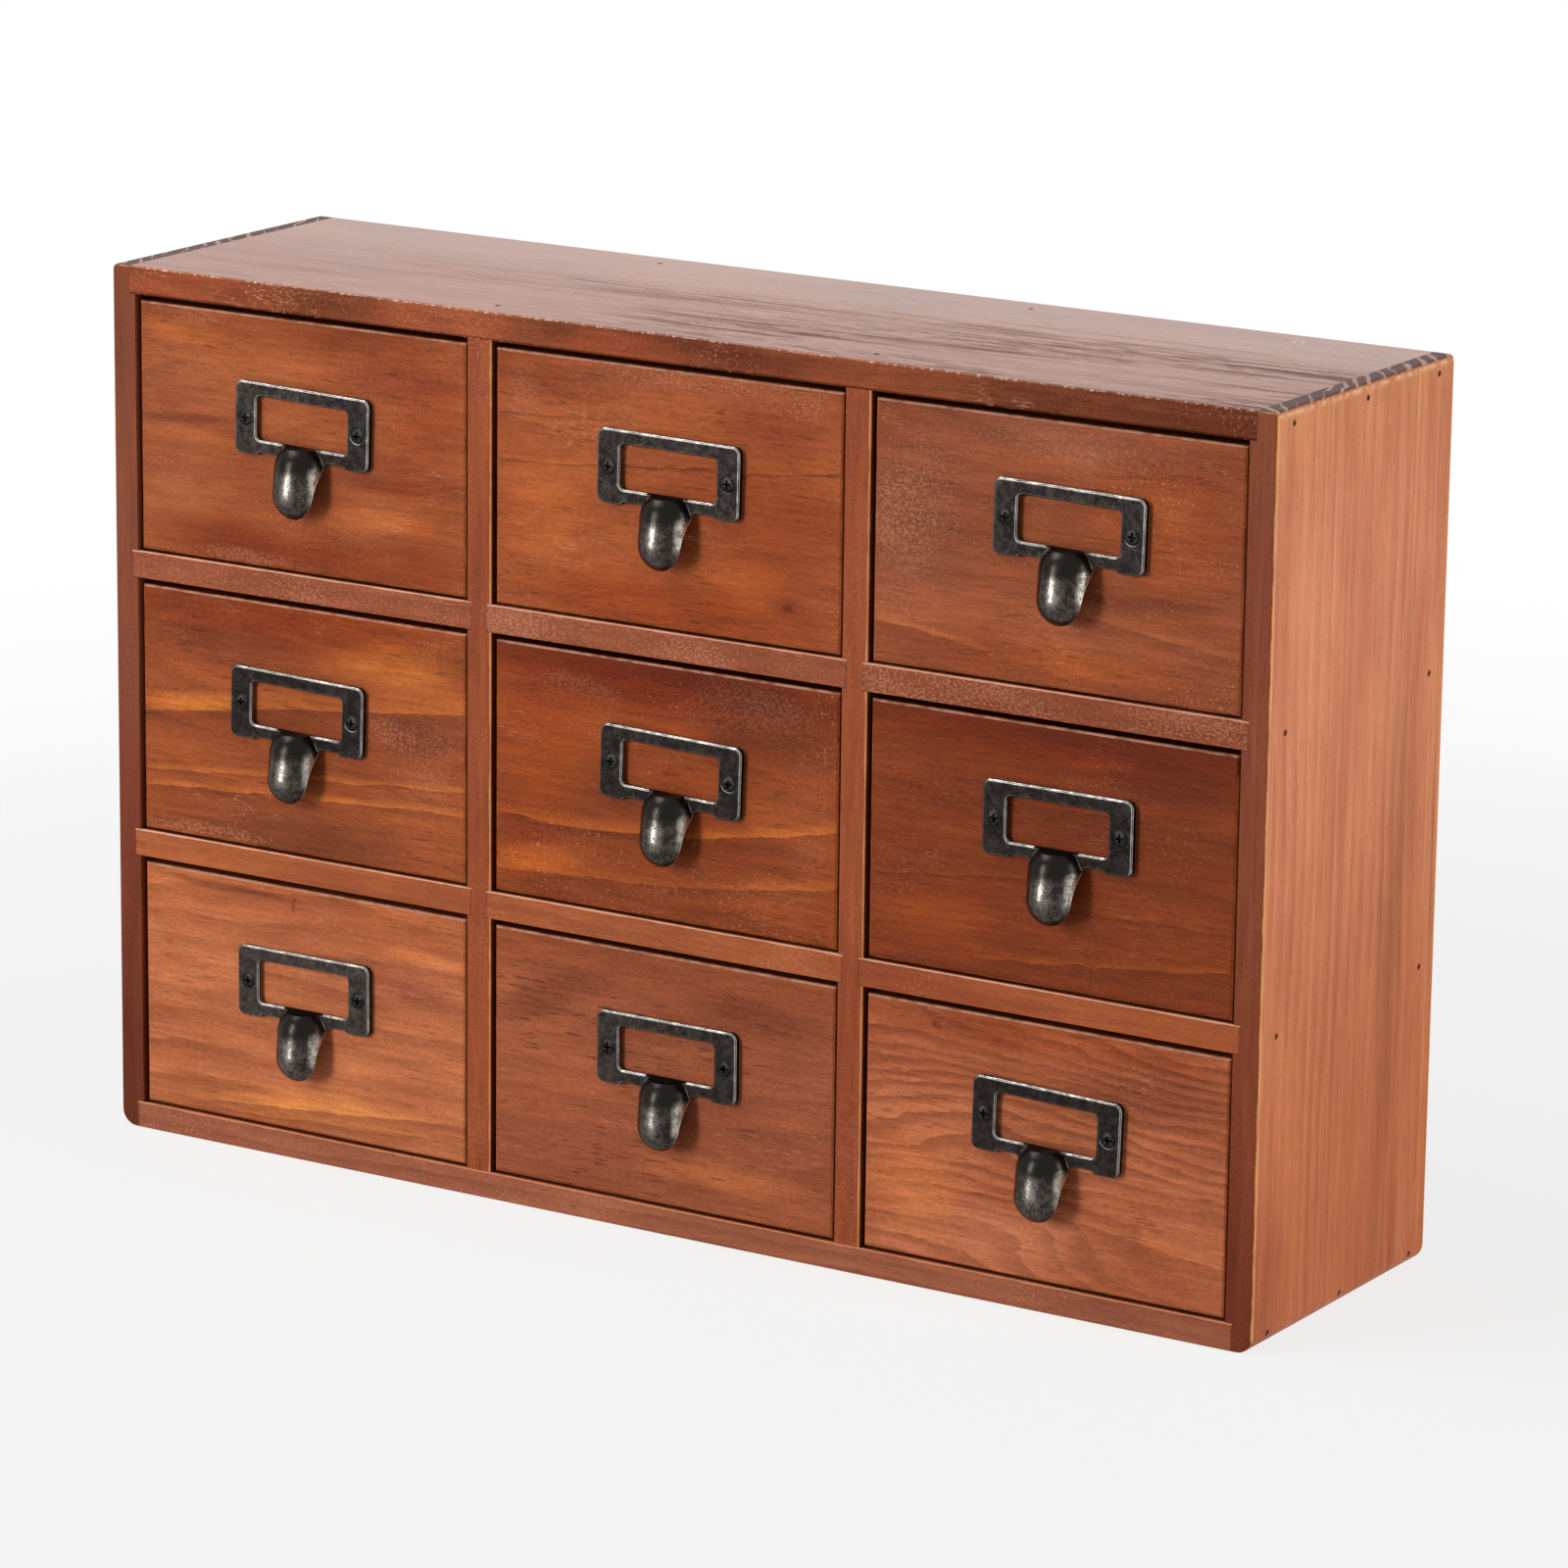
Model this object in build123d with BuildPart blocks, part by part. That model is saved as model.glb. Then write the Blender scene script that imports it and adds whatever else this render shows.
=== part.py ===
"""Desktop cabinet of nine small drawers in stained pine, with iron label pulls.

Millimetres, +Z up, drawers opening towards -Y. The origin is the middle of the
cabinet's underside.
"""

from build123d import *
import os
from math import cos, radians, sin

os.makedirs("parts", exist_ok=True)

# Overall size of the carcass, pulls left out
cabinet_width = 375.0
cabinet_height = 255.0
cabinet_depth = 100.0

# Boards of the carcass
side_thickness = 8.0
top_thickness = 8.0
bottom_thickness = 8.0
divider_thickness = 8.0
shelf_thickness = 8.0
back_thickness = 3.0
back_recess = 1.0

# Housings that hold the ends of the boards
side_housing = 2.0
divider_housing = 1.5

# Sanded edges
bottom_corner_radius = 5.0
top_corner_radius = 1.6
outer_edge_radius = 0.9
inner_edge_radius = 0.4

# Sunk nails
nail_radius = 0.6
nail_head_radius = 0.85
nail_head_thickness = 0.5
nail_sink = 0.4
nail_length = 17.0
back_nail_length = 11.0
nail_edge_distance = 9.0
nail_play = 0.05

# Drawer front
front_thickness = 8.0
front_setback = 0.9
front_side_gap = 1.0
front_top_gap = 1.8
front_bottom_gap = 0.5
front_edge_radius = 1.0

# Drawer box behind the front
wall_thickness = 5.0
wall_drop = 5.0
wall_edge_radius = 0.7
rear_gap = 1.5
floor_thickness = 2.5
floor_lift = 3.0
groove_depth = 2.0
groove_play = 0.2

# Label frame of the pull
frame_width = 45.9
frame_height = 20.8
frame_standoff = 2.0
frame_corner_radius = 2.2
frame_edge_chamfer = 0.35
window_width = 31.4
window_height = 12.7
window_corner_radius = 1.6
bottom_bar = 4.3
card_slot_depth = 0.8
card_lap = 1.4
notch_rise = 0.8
notch_outer_reach = 14.6
notch_slope = 1.0
notch_radius = 0.9
apron_drop = 0.6
apron_flare = 2.4

# Hooded finger tab of the pull, a hollow capsule cut open behind
hood_top_radius = 8.0
hood_tip_radius = 7.6
hood_reach = 7.1
hood_tilt = 11.0
hood_top_drop = 1.9
hood_lift = 0.9
hood_shell = 1.3
rim_root = 1.2
rim_middle = 3.9
rim_middle_drop = 4.0
rim_tip = 5.4

# Height of the label frames above the middle of the fronts, and where each pull was
# fixed by hand: millimetres to the right and up from there, and degrees clockwise
pull_rise = 7.5
pull_places = {
    "top_left": (1.4, -1.0, 1.4),
    "top_centre": (1.5, -0.1, 0.8),
    "top_right": (4.5, 1.1, 1.2),
    "middle_left": (-0.9, -1.4, 1.6),
    "middle_centre": (2.9, -0.8, 1.6),
    "middle_right": (3.0, 1.6, 0.2),
    "bottom_left": (1.0, -0.7, 0.0),
    "bottom_centre": (2.4, 0.0, 0.0),
    "bottom_right": (1.5, 1.0, 1.5),
}

# Cross-head screws of the pull
screw_spacing = 38.5
screw_length = 8.0
screw_radius = 1.1
screw_head_radius = 2.3
screw_head_dome = 0.3
screw_recess_length = 2.5
screw_recess_width = 0.6
screw_recess_depth = 0.9
screw_play = 0.06
pilot_spare = 0.4

# Cells of the cabinet, counted from the left and from the bottom
columns = ("left", "centre", "right")
rows = ("bottom", "middle", "top")
divider_names = ("left", "right")
inner_width = cabinet_width - 2 * side_thickness
inner_height = cabinet_height - top_thickness - bottom_thickness
cell_width = (inner_width - (len(columns) - 1) * divider_thickness) / len(columns)
cell_height = (inner_height - (len(rows) - 1) * shelf_thickness) / len(rows)
fitted_depth = cabinet_depth - back_recess - back_thickness

front_plane = Plane.XZ.offset(cabinet_depth / 2)
rear_plane = Plane.XZ.offset(-cabinet_depth / 2)


def cell_centre_x(column):
    """Middle of a column of drawers."""
    first = -inner_width / 2 + cell_width / 2
    return first + column * (cell_width + divider_thickness)


def cell_floor_z(row):
    """Surface that the drawers of a row slide on."""
    return bottom_thickness + row * (cell_height + shelf_thickness)


def divider_x(index):
    """Middle of the divider to the right of a column."""
    return cell_centre_x(index) + (cell_width + divider_thickness) / 2


def shelf_z(index):
    """Middle of the shelf above a row."""
    return cell_floor_z(index) + cell_height + shelf_thickness / 2


# Each nail is the plane of the surface that it goes in through, facing outwards
nail_y = cabinet_depth / 2 - nail_edge_distance
panel_nail_ys = (-nail_y, 0, nail_y)
shelf_nail_ys = (-nail_y, nail_y)


def side_nails(direction, height, depths):
    """Nails through one side at a height, at the given distances front to back."""
    outer_x = direction * cabinet_width / 2
    return [Plane((outer_x, y, height), x_dir=(0, 1, 0), z_dir=(direction, 0, 0)) for y in depths]


def end_nails(index, height, direction):
    """Nails through the top or bottom panel into one end of a divider."""
    x = divider_x(index)
    return [Plane((x, y, height), x_dir=(1, 0, 0), z_dir=(0, 0, direction)) for y in shelf_nail_ys]


def back_nail(x, z):
    """Nail through the back panel at one place."""
    return Plane((x, cabinet_depth / 2 - back_recess, z), x_dir=(-1, 0, 0), z_dir=(0, 1, 0))


top_joint_z = cabinet_height - top_thickness / 2
bottom_joint_z = bottom_thickness / 2
top_panel_nails = []
bottom_panel_nails = []
shelf_side_nails = {}
for direction in (-1, 1):
    top_panel_nails += side_nails(direction, top_joint_z, panel_nail_ys)
    bottom_panel_nails += side_nails(direction, bottom_joint_z, panel_nail_ys)
    for index in range(len(rows) - 1):
        shelf_side_nails[direction, index] = side_nails(direction, shelf_z(index), shelf_nail_ys)

top_end_nails = {}
bottom_end_nails = {}
divider_back_nails = {}
for index in range(len(columns) - 1):
    heights = [cell_floor_z(row) + cell_height / 2 for row in range(len(rows))]
    top_end_nails[index] = end_nails(index, cabinet_height, 1)
    bottom_end_nails[index] = end_nails(index, 0, -1)
    divider_back_nails[index] = [back_nail(divider_x(index), z) for z in heights]

shelf_back_nails = {}
for column in range(len(columns)):
    for index in range(len(rows) - 1):
        shelf_back_nails[column, index] = [back_nail(cell_centre_x(column), shelf_z(index))]


def all_nails(groups):
    """Every nail of several groups, in one list."""
    return sum(groups.values(), [])


def bore_nail_holes(planes, length):
    """Holes for nails of one length, bored in the board being built."""
    mouth_depth = nail_sink + nail_head_thickness + nail_play
    bore_depth = nail_sink + length + nail_play
    for plane in planes:
        with BuildSketch(plane) as mouth:
            Circle(nail_head_radius + nail_play)
        extrude(mouth.sketch, amount=-mouth_depth, mode=Mode.SUBTRACT)
        with BuildSketch(plane) as bore:
            Circle(nail_radius + nail_play)
        extrude(bore.sketch, amount=-bore_depth, mode=Mode.SUBTRACT)


def drive_nails(planes, length):
    """Nails of one length, heads sunk under the surface that each plane marks."""
    for plane in planes:
        with BuildSketch(plane.offset(-nail_sink)) as head:
            Circle(nail_head_radius)
        extrude(head.sketch, amount=-nail_head_thickness)
        with BuildSketch(plane.offset(-nail_sink)) as shank:
            Circle(nail_radius)
        extrude(shank.sketch, amount=-length)


def write_node(shape, node):
    """Label one finished piece and write it to its own file."""
    shape.label = node
    export_step(shape, f"parts/{node}.step")


# Right side: full height, rebated for the top and bottom panels, housed for the shelves
side_inner_x = inner_width / 2
with BuildPart() as right_side:
    with BuildSketch(front_plane):
        with Locations((side_inner_x + side_thickness / 2, cabinet_height / 2)):
            Rectangle(side_thickness, cabinet_height)
        fillet(vertices().group_by(Axis.Y)[0].sort_by(Axis.X)[-1], bottom_corner_radius)
        fillet(vertices().group_by(Axis.Y)[-1].sort_by(Axis.X)[-1], top_corner_radius)
        with Locations((side_inner_x + side_housing / 2, top_joint_z)):
            Rectangle(side_housing, top_thickness, mode=Mode.SUBTRACT)
        with Locations((side_inner_x + side_housing / 2, bottom_joint_z)):
            Rectangle(side_housing, bottom_thickness, mode=Mode.SUBTRACT)
    extrude(amount=-cabinet_depth)
    end_edges = faces().filter_by(Axis.Y).edges()
    outer_edges = end_edges.filter_by(lambda edge: edge.center().X > side_inner_x + side_housing)
    fillet(outer_edges, outer_edge_radius)
    with BuildSketch(front_plane):
        for index in range(len(rows) - 1):
            with Locations((side_inner_x + side_housing / 2, shelf_z(index))):
                Rectangle(side_housing, shelf_thickness)
    extrude(amount=-fitted_depth, mode=Mode.SUBTRACT)
    bore_nail_holes(side_nails(1, top_joint_z, panel_nail_ys), nail_length)
    bore_nail_holes(side_nails(1, bottom_joint_z, panel_nail_ys), nail_length)
    for index in range(len(rows) - 1):
        bore_nail_holes(shelf_side_nails[1, index], nail_length)
write_node(right_side.part, "right_side")

# Left side, the mirror image of the right
with BuildPart() as left_side:
    mirror(right_side.part, about=Plane.YZ)
write_node(left_side.part, "left_side")

# Top and bottom panels, let into the rebates of the sides
panel_length = inner_width + 2 * side_housing
with BuildPart() as top_panel:
    with BuildSketch(front_plane):
        with Locations((0, top_joint_z)):
            Rectangle(panel_length, top_thickness)
    extrude(amount=-cabinet_depth)
    fillet(faces().sort_by(Axis.Z)[-1].edges().filter_by(Axis.X), outer_edge_radius)
    bore_nail_holes(top_panel_nails + all_nails(top_end_nails), nail_length)
write_node(top_panel.part, "top_panel")

with BuildPart() as bottom_panel:
    with BuildSketch(front_plane):
        with Locations((0, bottom_joint_z)):
            Rectangle(panel_length, bottom_thickness)
    extrude(amount=-cabinet_depth)
    fillet(faces().sort_by(Axis.Z)[0].edges().filter_by(Axis.X), outer_edge_radius)
    bore_nail_holes(bottom_panel_nails + all_nails(bottom_end_nails), nail_length)
write_node(bottom_panel.part, "bottom_panel")

# Dividers between the columns, housed on both faces for the shelves
for index in range(len(columns) - 1):
    with BuildPart() as divider:
        with BuildSketch(front_plane):
            with Locations((divider_x(index), bottom_thickness + inner_height / 2)):
                Rectangle(divider_thickness, inner_height)
            for row in range(len(rows) - 1):
                for direction in (-1, 1):
                    housing_x = divider_x(index) + direction * (divider_thickness - divider_housing) / 2
                    with Locations((housing_x, shelf_z(row))):
                        Rectangle(divider_housing, shelf_thickness, mode=Mode.SUBTRACT)
        extrude(amount=-fitted_depth)
        upright_edges = faces().sort_by(Axis.Y)[0].edges().filter_by(Axis.Z).group_by(Axis.X)
        fillet(upright_edges[0] + upright_edges[-1], inner_edge_radius)
        bore_nail_holes(top_end_nails[index] + bottom_end_nails[index], nail_length)
        bore_nail_holes(divider_back_nails[index], back_nail_length)
    write_node(divider.part, f"{divider_names[index]}_divider")

# Short shelves between the uprights, one under each drawer above the bottom row
for column, column_name in enumerate(columns):
    for index, row_name in enumerate(rows[1:]):
        left_housing = side_housing if column == 0 else divider_housing
        right_housing = side_housing if column == len(columns) - 1 else divider_housing
        shelf_length = cell_width + left_housing + right_housing
        shelf_centre = cell_centre_x(column) + (right_housing - left_housing) / 2
        with BuildPart() as shelf:
            with BuildSketch(front_plane):
                with Locations((shelf_centre, shelf_z(index))):
                    Rectangle(shelf_length, shelf_thickness)
            extrude(amount=-fitted_depth)
            fillet(faces().sort_by(Axis.Y)[0].edges().filter_by(Axis.X), inner_edge_radius)
            if column == 0:
                bore_nail_holes(shelf_side_nails[-1, index], nail_length)
            if column == len(columns) - 1:
                bore_nail_holes(shelf_side_nails[1, index], nail_length)
            bore_nail_holes(shelf_back_nails[column, index], back_nail_length)
        write_node(shelf.part, f"{row_name}_{column_name}_shelf")

# Thin back panel, let in between the outer boards and nailed to the inner ones
all_back_nails = all_nails(divider_back_nails) + all_nails(shelf_back_nails)
with BuildPart() as back_panel:
    with BuildSketch(rear_plane.offset(back_recess)):
        with Locations((0, bottom_thickness + inner_height / 2)):
            Rectangle(inner_width, inner_height)
    extrude(amount=back_thickness)
    bore_nail_holes(all_back_nails, back_nail_length)
write_node(back_panel.part, "back_panel")

# Nails of the carcass, one group of like pieces
with BuildPart() as carcass_nails:
    drive_nails(top_panel_nails + bottom_panel_nails, nail_length)
    drive_nails(all_nails(top_end_nails) + all_nails(bottom_end_nails), nail_length)
    drive_nails(all_nails(shelf_side_nails), nail_length)
    drive_nails(all_back_nails, back_nail_length)
write_node(carcass_nails.part, "carcass_nails")

# Places inside a drawer, measured from its cell's middle and floor
front_face_y = -cabinet_depth / 2 + front_setback
front_width = cell_width - 2 * front_side_gap
front_height = cell_height - front_top_gap - front_bottom_gap
front_middle = front_bottom_gap + front_height / 2
front_back_y = front_face_y + front_thickness
drawer_rear_y = cabinet_depth / 2 - back_recess - back_thickness - rear_gap
wall_height = front_bottom_gap + front_height - wall_drop
wall_inner_x = front_width / 2 - wall_thickness
floor_top = floor_lift + floor_thickness
floor_width = 2 * (wall_inner_x + groove_depth - groove_play)
floor_front_y = front_back_y - groove_depth + groove_play
face_plane = Plane.XZ.offset(-front_face_y)
front_back_plane = Plane.XZ.offset(-front_back_y)


def bore_screw_pilots(across, height, turn):
    """Pilot holes in a drawer front, behind the two screws of its pull."""
    with BuildSketch(face_plane) as pilots:
        with Locations(Location((across, height, 0), (0, 0, -turn))):
            with GridLocations(screw_spacing, 0, 2, 1):
                Circle(screw_radius + screw_play)
    extrude(pilots.sketch, amount=-(screw_length - frame_standoff + pilot_spare), mode=Mode.SUBTRACT)


def make_front(across, up, turn):
    """Drawer front with its edges softened, grooved behind for the floor."""
    with BuildPart() as front:
        with BuildSketch(face_plane):
            with Locations((0, front_middle)):
                Rectangle(front_width, front_height)
        extrude(amount=-front_thickness)
        fillet(faces().sort_by(Axis.Y)[0].edges(), front_edge_radius)
        with BuildSketch(front_back_plane):
            with Locations((0, floor_lift + floor_thickness / 2)):
                Rectangle(floor_width + 2 * groove_play, floor_thickness)
        extrude(amount=groove_depth, mode=Mode.SUBTRACT)
        bore_screw_pilots(across, front_middle + pull_rise + up, turn)
    return front.part


def make_side_wall(direction):
    """One side wall of a drawer, grooved for the floor and butted to the front."""
    wall_x = direction * (wall_inner_x + wall_thickness / 2)
    groove_x = direction * (wall_inner_x + groove_depth / 2)
    with BuildPart() as wall:
        with BuildSketch(front_back_plane):
            with Locations((wall_x, wall_height / 2)):
                Rectangle(wall_thickness, wall_height)
            with Locations((groove_x, floor_lift + floor_thickness / 2)):
                Rectangle(groove_depth, floor_thickness, mode=Mode.SUBTRACT)
        extrude(amount=-(drawer_rear_y - front_back_y))
        fillet(faces().sort_by(Axis.Z)[-1].edges().filter_by(Axis.Y), wall_edge_radius)
    return wall.part


def make_back_wall():
    """Back wall of a drawer, standing on the floor between the side walls."""
    with BuildPart() as wall:
        with BuildSketch(Plane.XY.offset(floor_top)):
            with Locations((0, drawer_rear_y - wall_thickness / 2)):
                Rectangle(2 * wall_inner_x, wall_thickness)
        extrude(amount=wall_height - floor_top)
        fillet(faces().sort_by(Axis.Z)[-1].edges().filter_by(Axis.X), wall_edge_radius)
    return wall.part


def make_floor():
    """Plywood floor of a drawer, held in the grooves of the front and side walls."""
    with BuildPart() as floor:
        with BuildSketch(Plane.XY.offset(floor_lift)):
            with Locations((0, (floor_front_y + drawer_rear_y) / 2)):
                Rectangle(floor_width, drawer_rear_y - floor_front_y)
        extrude(amount=floor_thickness)
    return floor.part


# Pull, drawn from the middle of its label frame on the face of the wood
frame_bottom = -frame_height / 2
frame_top = frame_height / 2
window_bottom = frame_bottom + bottom_bar
window_middle = window_bottom + window_height / 2
apron_bottom = frame_bottom - apron_drop
apron_half = hood_top_radius - hood_shell
pull_plane = Plane(origin=(0, front_face_y, 0), x_dir=(1, 0, 0), z_dir=(0, -1, 0))
notch_end = notch_outer_reach + notch_slope
hood_top_z = frame_bottom - hood_top_drop
hood_tip_z = hood_top_z - hood_reach * cos(radians(hood_tilt))
hood_lowest_z = hood_tip_z - hood_tip_radius
hood_plane = Plane(
    origin=(0, front_face_y - hood_lift, hood_top_z),
    x_dir=(1, 0, 0),
    z_dir=(0, -cos(radians(hood_tilt)), sin(radians(hood_tilt))),
)


def revolve_capsule(shell):
    """Capsule about the hood's tilted axis, smaller all round by a shell's thickness."""
    top_radius = hood_top_radius - shell
    tip_radius = hood_tip_radius - shell
    lean = (hood_top_radius - hood_tip_radius) / hood_reach
    rise = (1 - lean**2) ** 0.5
    with BuildSketch(hood_plane) as half:
        with BuildLine():
            flank = Line(
                (top_radius * rise, -top_radius * lean),
                (tip_radius * rise, -hood_reach - tip_radius * lean),
            )
            crown = TangentArc(flank @ 0, (0, top_radius), tangent=(flank % 0) * -1)
            tip = TangentArc(flank @ 1, (0, -hood_reach - tip_radius), tangent=flank % 1)
            Line(crown @ 1, tip @ 1)
        make_face()
    revolve(half.sketch, axis=Axis(hood_plane.origin, hood_plane.y_dir))


def make_hood():
    """Finger tab: a hollow capsule cut open behind along a curved rim."""
    with BuildPart() as hollow:
        revolve_capsule(hood_shell)
        split(bisect_by=Plane.XY.offset(apron_bottom), keep=Keep.BOTTOM)
    with BuildPart() as hood:
        revolve_capsule(0)
        add(hollow.part, mode=Mode.SUBTRACT)
        split(bisect_by=Plane.XY.offset(window_bottom), keep=Keep.BOTTOM)
        with BuildSketch(Plane.YZ):
            with BuildLine():
                rim = ThreePointArc(
                    (front_face_y - rim_root, frame_bottom),
                    (front_face_y - rim_middle, frame_bottom - rim_middle_drop),
                    (front_face_y - rim_tip, hood_lowest_z),
                )
                Polyline(
                    rim @ 1,
                    (front_face_y - rim_tip, hood_lowest_z - hood_tip_radius),
                    (front_face_y + 2 * hood_top_radius, hood_lowest_z - hood_tip_radius),
                    (front_face_y + 2 * hood_top_radius, frame_top),
                    (front_face_y - rim_root, frame_top),
                    rim @ 0,
                )
            make_face()
        extrude(amount=2 * hood_top_radius, both=True, mode=Mode.SUBTRACT)
    return hood.part


def make_pull():
    """Label frame and finger tab in one piece, with a slot behind for a paper card."""
    with BuildPart() as pull:
        with BuildSketch(pull_plane):
            RectangleRounded(frame_width, frame_height, frame_corner_radius)
            with Locations((0, frame_bottom)):
                Rectangle(2 * (apron_half + apron_flare), 2 * apron_drop)
            for direction in (-1, 1):
                Polygon(
                    (direction * notch_end, apron_bottom),
                    (direction * notch_outer_reach, frame_bottom + notch_rise),
                    (direction * (apron_half + apron_flare), frame_bottom + notch_rise),
                    (direction * apron_half, apron_bottom),
                    align=None,
                    mode=Mode.SUBTRACT,
                )
            notch_corners = vertices().filter_by_position(Axis.X, -notch_end, notch_end)
            fillet(notch_corners.filter_by_position(Axis.Y, frame_bottom + notch_rise / 2, 0), notch_radius)
            with Locations((0, window_middle)):
                RectangleRounded(window_width, window_height, window_corner_radius, mode=Mode.SUBTRACT)
        extrude(amount=frame_standoff)
        chamfer(faces().sort_by(Axis.Y)[0].edges(), frame_edge_chamfer)
        with BuildSketch(pull_plane):
            with Locations((0, (window_bottom - card_lap + frame_top) / 2)):
                Rectangle(window_width + 2 * card_lap, frame_top - window_bottom + card_lap)
        extrude(amount=card_slot_depth, mode=Mode.SUBTRACT)
        with Locations(pull_plane.offset(frame_standoff)):
            with GridLocations(screw_spacing, 0, 2, 1):
                CounterSinkHole(
                    radius=screw_radius + screw_play,
                    counter_sink_radius=screw_head_radius + screw_play,
                    counter_sink_angle=90,
                )
        add(make_hood())
    return pull.part


def make_screws():
    """Two cross-head countersunk screws, heads level with the label frame."""
    head_y = front_face_y - frame_standoff
    tip_y = head_y + screw_length
    with BuildPart() as screw:
        with BuildSketch(Plane.XY):
            with BuildLine():
                dome = ThreePointArc(
                    (-screw_head_radius, head_y),
                    (0, head_y - screw_head_dome),
                    (screw_head_radius, head_y),
                )
                Polyline(
                    dome @ 1,
                    (screw_radius, head_y + screw_head_radius - screw_radius),
                    (screw_radius, tip_y - screw_radius),
                    (0, tip_y),
                    (-screw_radius, tip_y - screw_radius),
                    (-screw_radius, head_y + screw_head_radius - screw_radius),
                    dome @ 0,
                )
            make_face()
            split(bisect_by=Plane.YZ, keep=Keep.TOP)
        revolve(axis=Axis.Y)
        with BuildSketch(pull_plane.offset(frame_standoff + screw_head_dome)):
            Rectangle(screw_recess_length, screw_recess_width)
            Rectangle(screw_recess_width, screw_recess_length)
        extrude(amount=-screw_recess_depth, mode=Mode.SUBTRACT)
    with BuildPart() as screws:
        with GridLocations(screw_spacing, 0, 2, 1):
            add(screw.part)
    return screws.part


# Drawers: like pieces are made once and set in each cell
left_wall = make_side_wall(-1)
right_wall = make_side_wall(1)
back_wall = make_back_wall()
drawer_floor = make_floor()
label_pull = make_pull()
pull_screws = make_screws()

for row, row_name in enumerate(rows):
    for column, column_name in enumerate(columns):
        cell = f"{row_name}_{column_name}"
        across, up, turn = pull_places[cell]
        seat = Location((cell_centre_x(column), 0, cell_floor_z(row)))
        pull_seat = seat * Location((across, 0, front_middle + pull_rise + up), (0, turn, 0))
        write_node(make_front(across, up, turn).moved(seat), f"{cell}_front")
        walls = Compound([wall.moved(seat) for wall in (left_wall, right_wall, back_wall)])
        write_node(walls, f"{cell}_walls")
        write_node(drawer_floor.moved(seat), f"{cell}_floor")
        write_node(label_pull.moved(pull_seat), f"{cell}_pull")
        write_node(pull_screws.moved(pull_seat), f"{cell}_screws")
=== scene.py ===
"""Desktop cabinet of nine small drawers in stained pine, with blackened iron label pulls."""

from math import cos, radians, sin

import bpy
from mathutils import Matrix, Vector


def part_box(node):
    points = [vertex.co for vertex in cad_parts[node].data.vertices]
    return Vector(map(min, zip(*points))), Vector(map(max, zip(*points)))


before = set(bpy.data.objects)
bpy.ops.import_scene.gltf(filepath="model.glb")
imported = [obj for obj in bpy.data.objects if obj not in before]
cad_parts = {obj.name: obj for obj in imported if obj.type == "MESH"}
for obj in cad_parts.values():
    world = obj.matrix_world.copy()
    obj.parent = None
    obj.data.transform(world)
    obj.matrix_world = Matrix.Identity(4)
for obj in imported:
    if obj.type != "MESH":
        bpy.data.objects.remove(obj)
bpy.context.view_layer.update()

# The camera stands to the right of the cabinet and a little above it, far enough
# away for a long lens.
camera_data = bpy.data.cameras.new("camera")
camera_data.lens = 162.7
camera_data.sensor_width = 36.0
camera_data.clip_end = 50.0
camera = bpy.data.objects.new("camera", camera_data)
camera.location = (1.0262, -1.6323, 0.6087)
camera.rotation_euler = (radians(75.757), radians(-0.668), radians(32.122))
bpy.context.scene.collection.objects.link(camera)
bpy.context.scene.camera = camera
bpy.context.scene.view_settings.view_transform = "Standard"


# The studio floor is one pale, matt sheet, large enough to fill the picture. It keeps a
# soft shadow of the cabinet and turns to plain white further out.
def add_node(tree, kind, inputs, **settings):
    """One shader node, its options set and its inputs wired or given values."""
    node = tree.nodes.new(kind)
    for name, setting in settings.items():
        setattr(node, name, setting)
    for name, value in inputs.items():
        if isinstance(value, bpy.types.NodeSocket):
            tree.links.new(value, node.inputs[name])
        else:
            node.inputs[name].default_value = value
    return node


def calculate(tree, operation, *values, clamp=False):
    """The result of a Math node on the given values or sockets."""
    return add_node(tree, "ShaderNodeMath", dict(enumerate(values)),
                    operation=operation, use_clamp=clamp).outputs[0]


def measure(tree, operation, *vectors):
    """The number that a Vector Math node gives, such as a length."""
    return add_node(tree, "ShaderNodeVectorMath", dict(enumerate(vectors)),
                    operation=operation).outputs["Value"]


def ramp(tree, value, low, high, start=0.0, end=1.0):
    """A smooth step from start to end as the value goes from low to high."""
    return add_node(tree, "ShaderNodeMapRange", {
        "Value": value, "From Min": low, "From Max": high, "To Min": start, "To Max": end,
    }, interpolation_type="SMOOTHSTEP").outputs[0]


def seen_directly(tree):
    """1 for the rays that show the background: camera, mirror and glass rays."""
    rays = add_node(tree, "ShaderNodeLightPath", {}).outputs
    either = calculate(tree, "MAXIMUM", rays["Is Camera Ray"], rays["Is Transmission Ray"])
    return calculate(tree, "MAXIMUM", either, rays["Is Glossy Ray"])


floor_reach = 12.0
shadow_reach, white_reach = 0.25, 0.9
floor_mesh = bpy.data.meshes.new("studio_floor")
corners = [(x * floor_reach, y * floor_reach, 0) for x, y in ((-1, -1), (1, -1), (1, 1), (-1, 1))]
floor_mesh.from_pydata(corners, [], [(0, 1, 2, 3)])
studio_floor = bpy.data.objects.new("studio_floor", floor_mesh)
bpy.context.scene.collection.objects.link(studio_floor)

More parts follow.
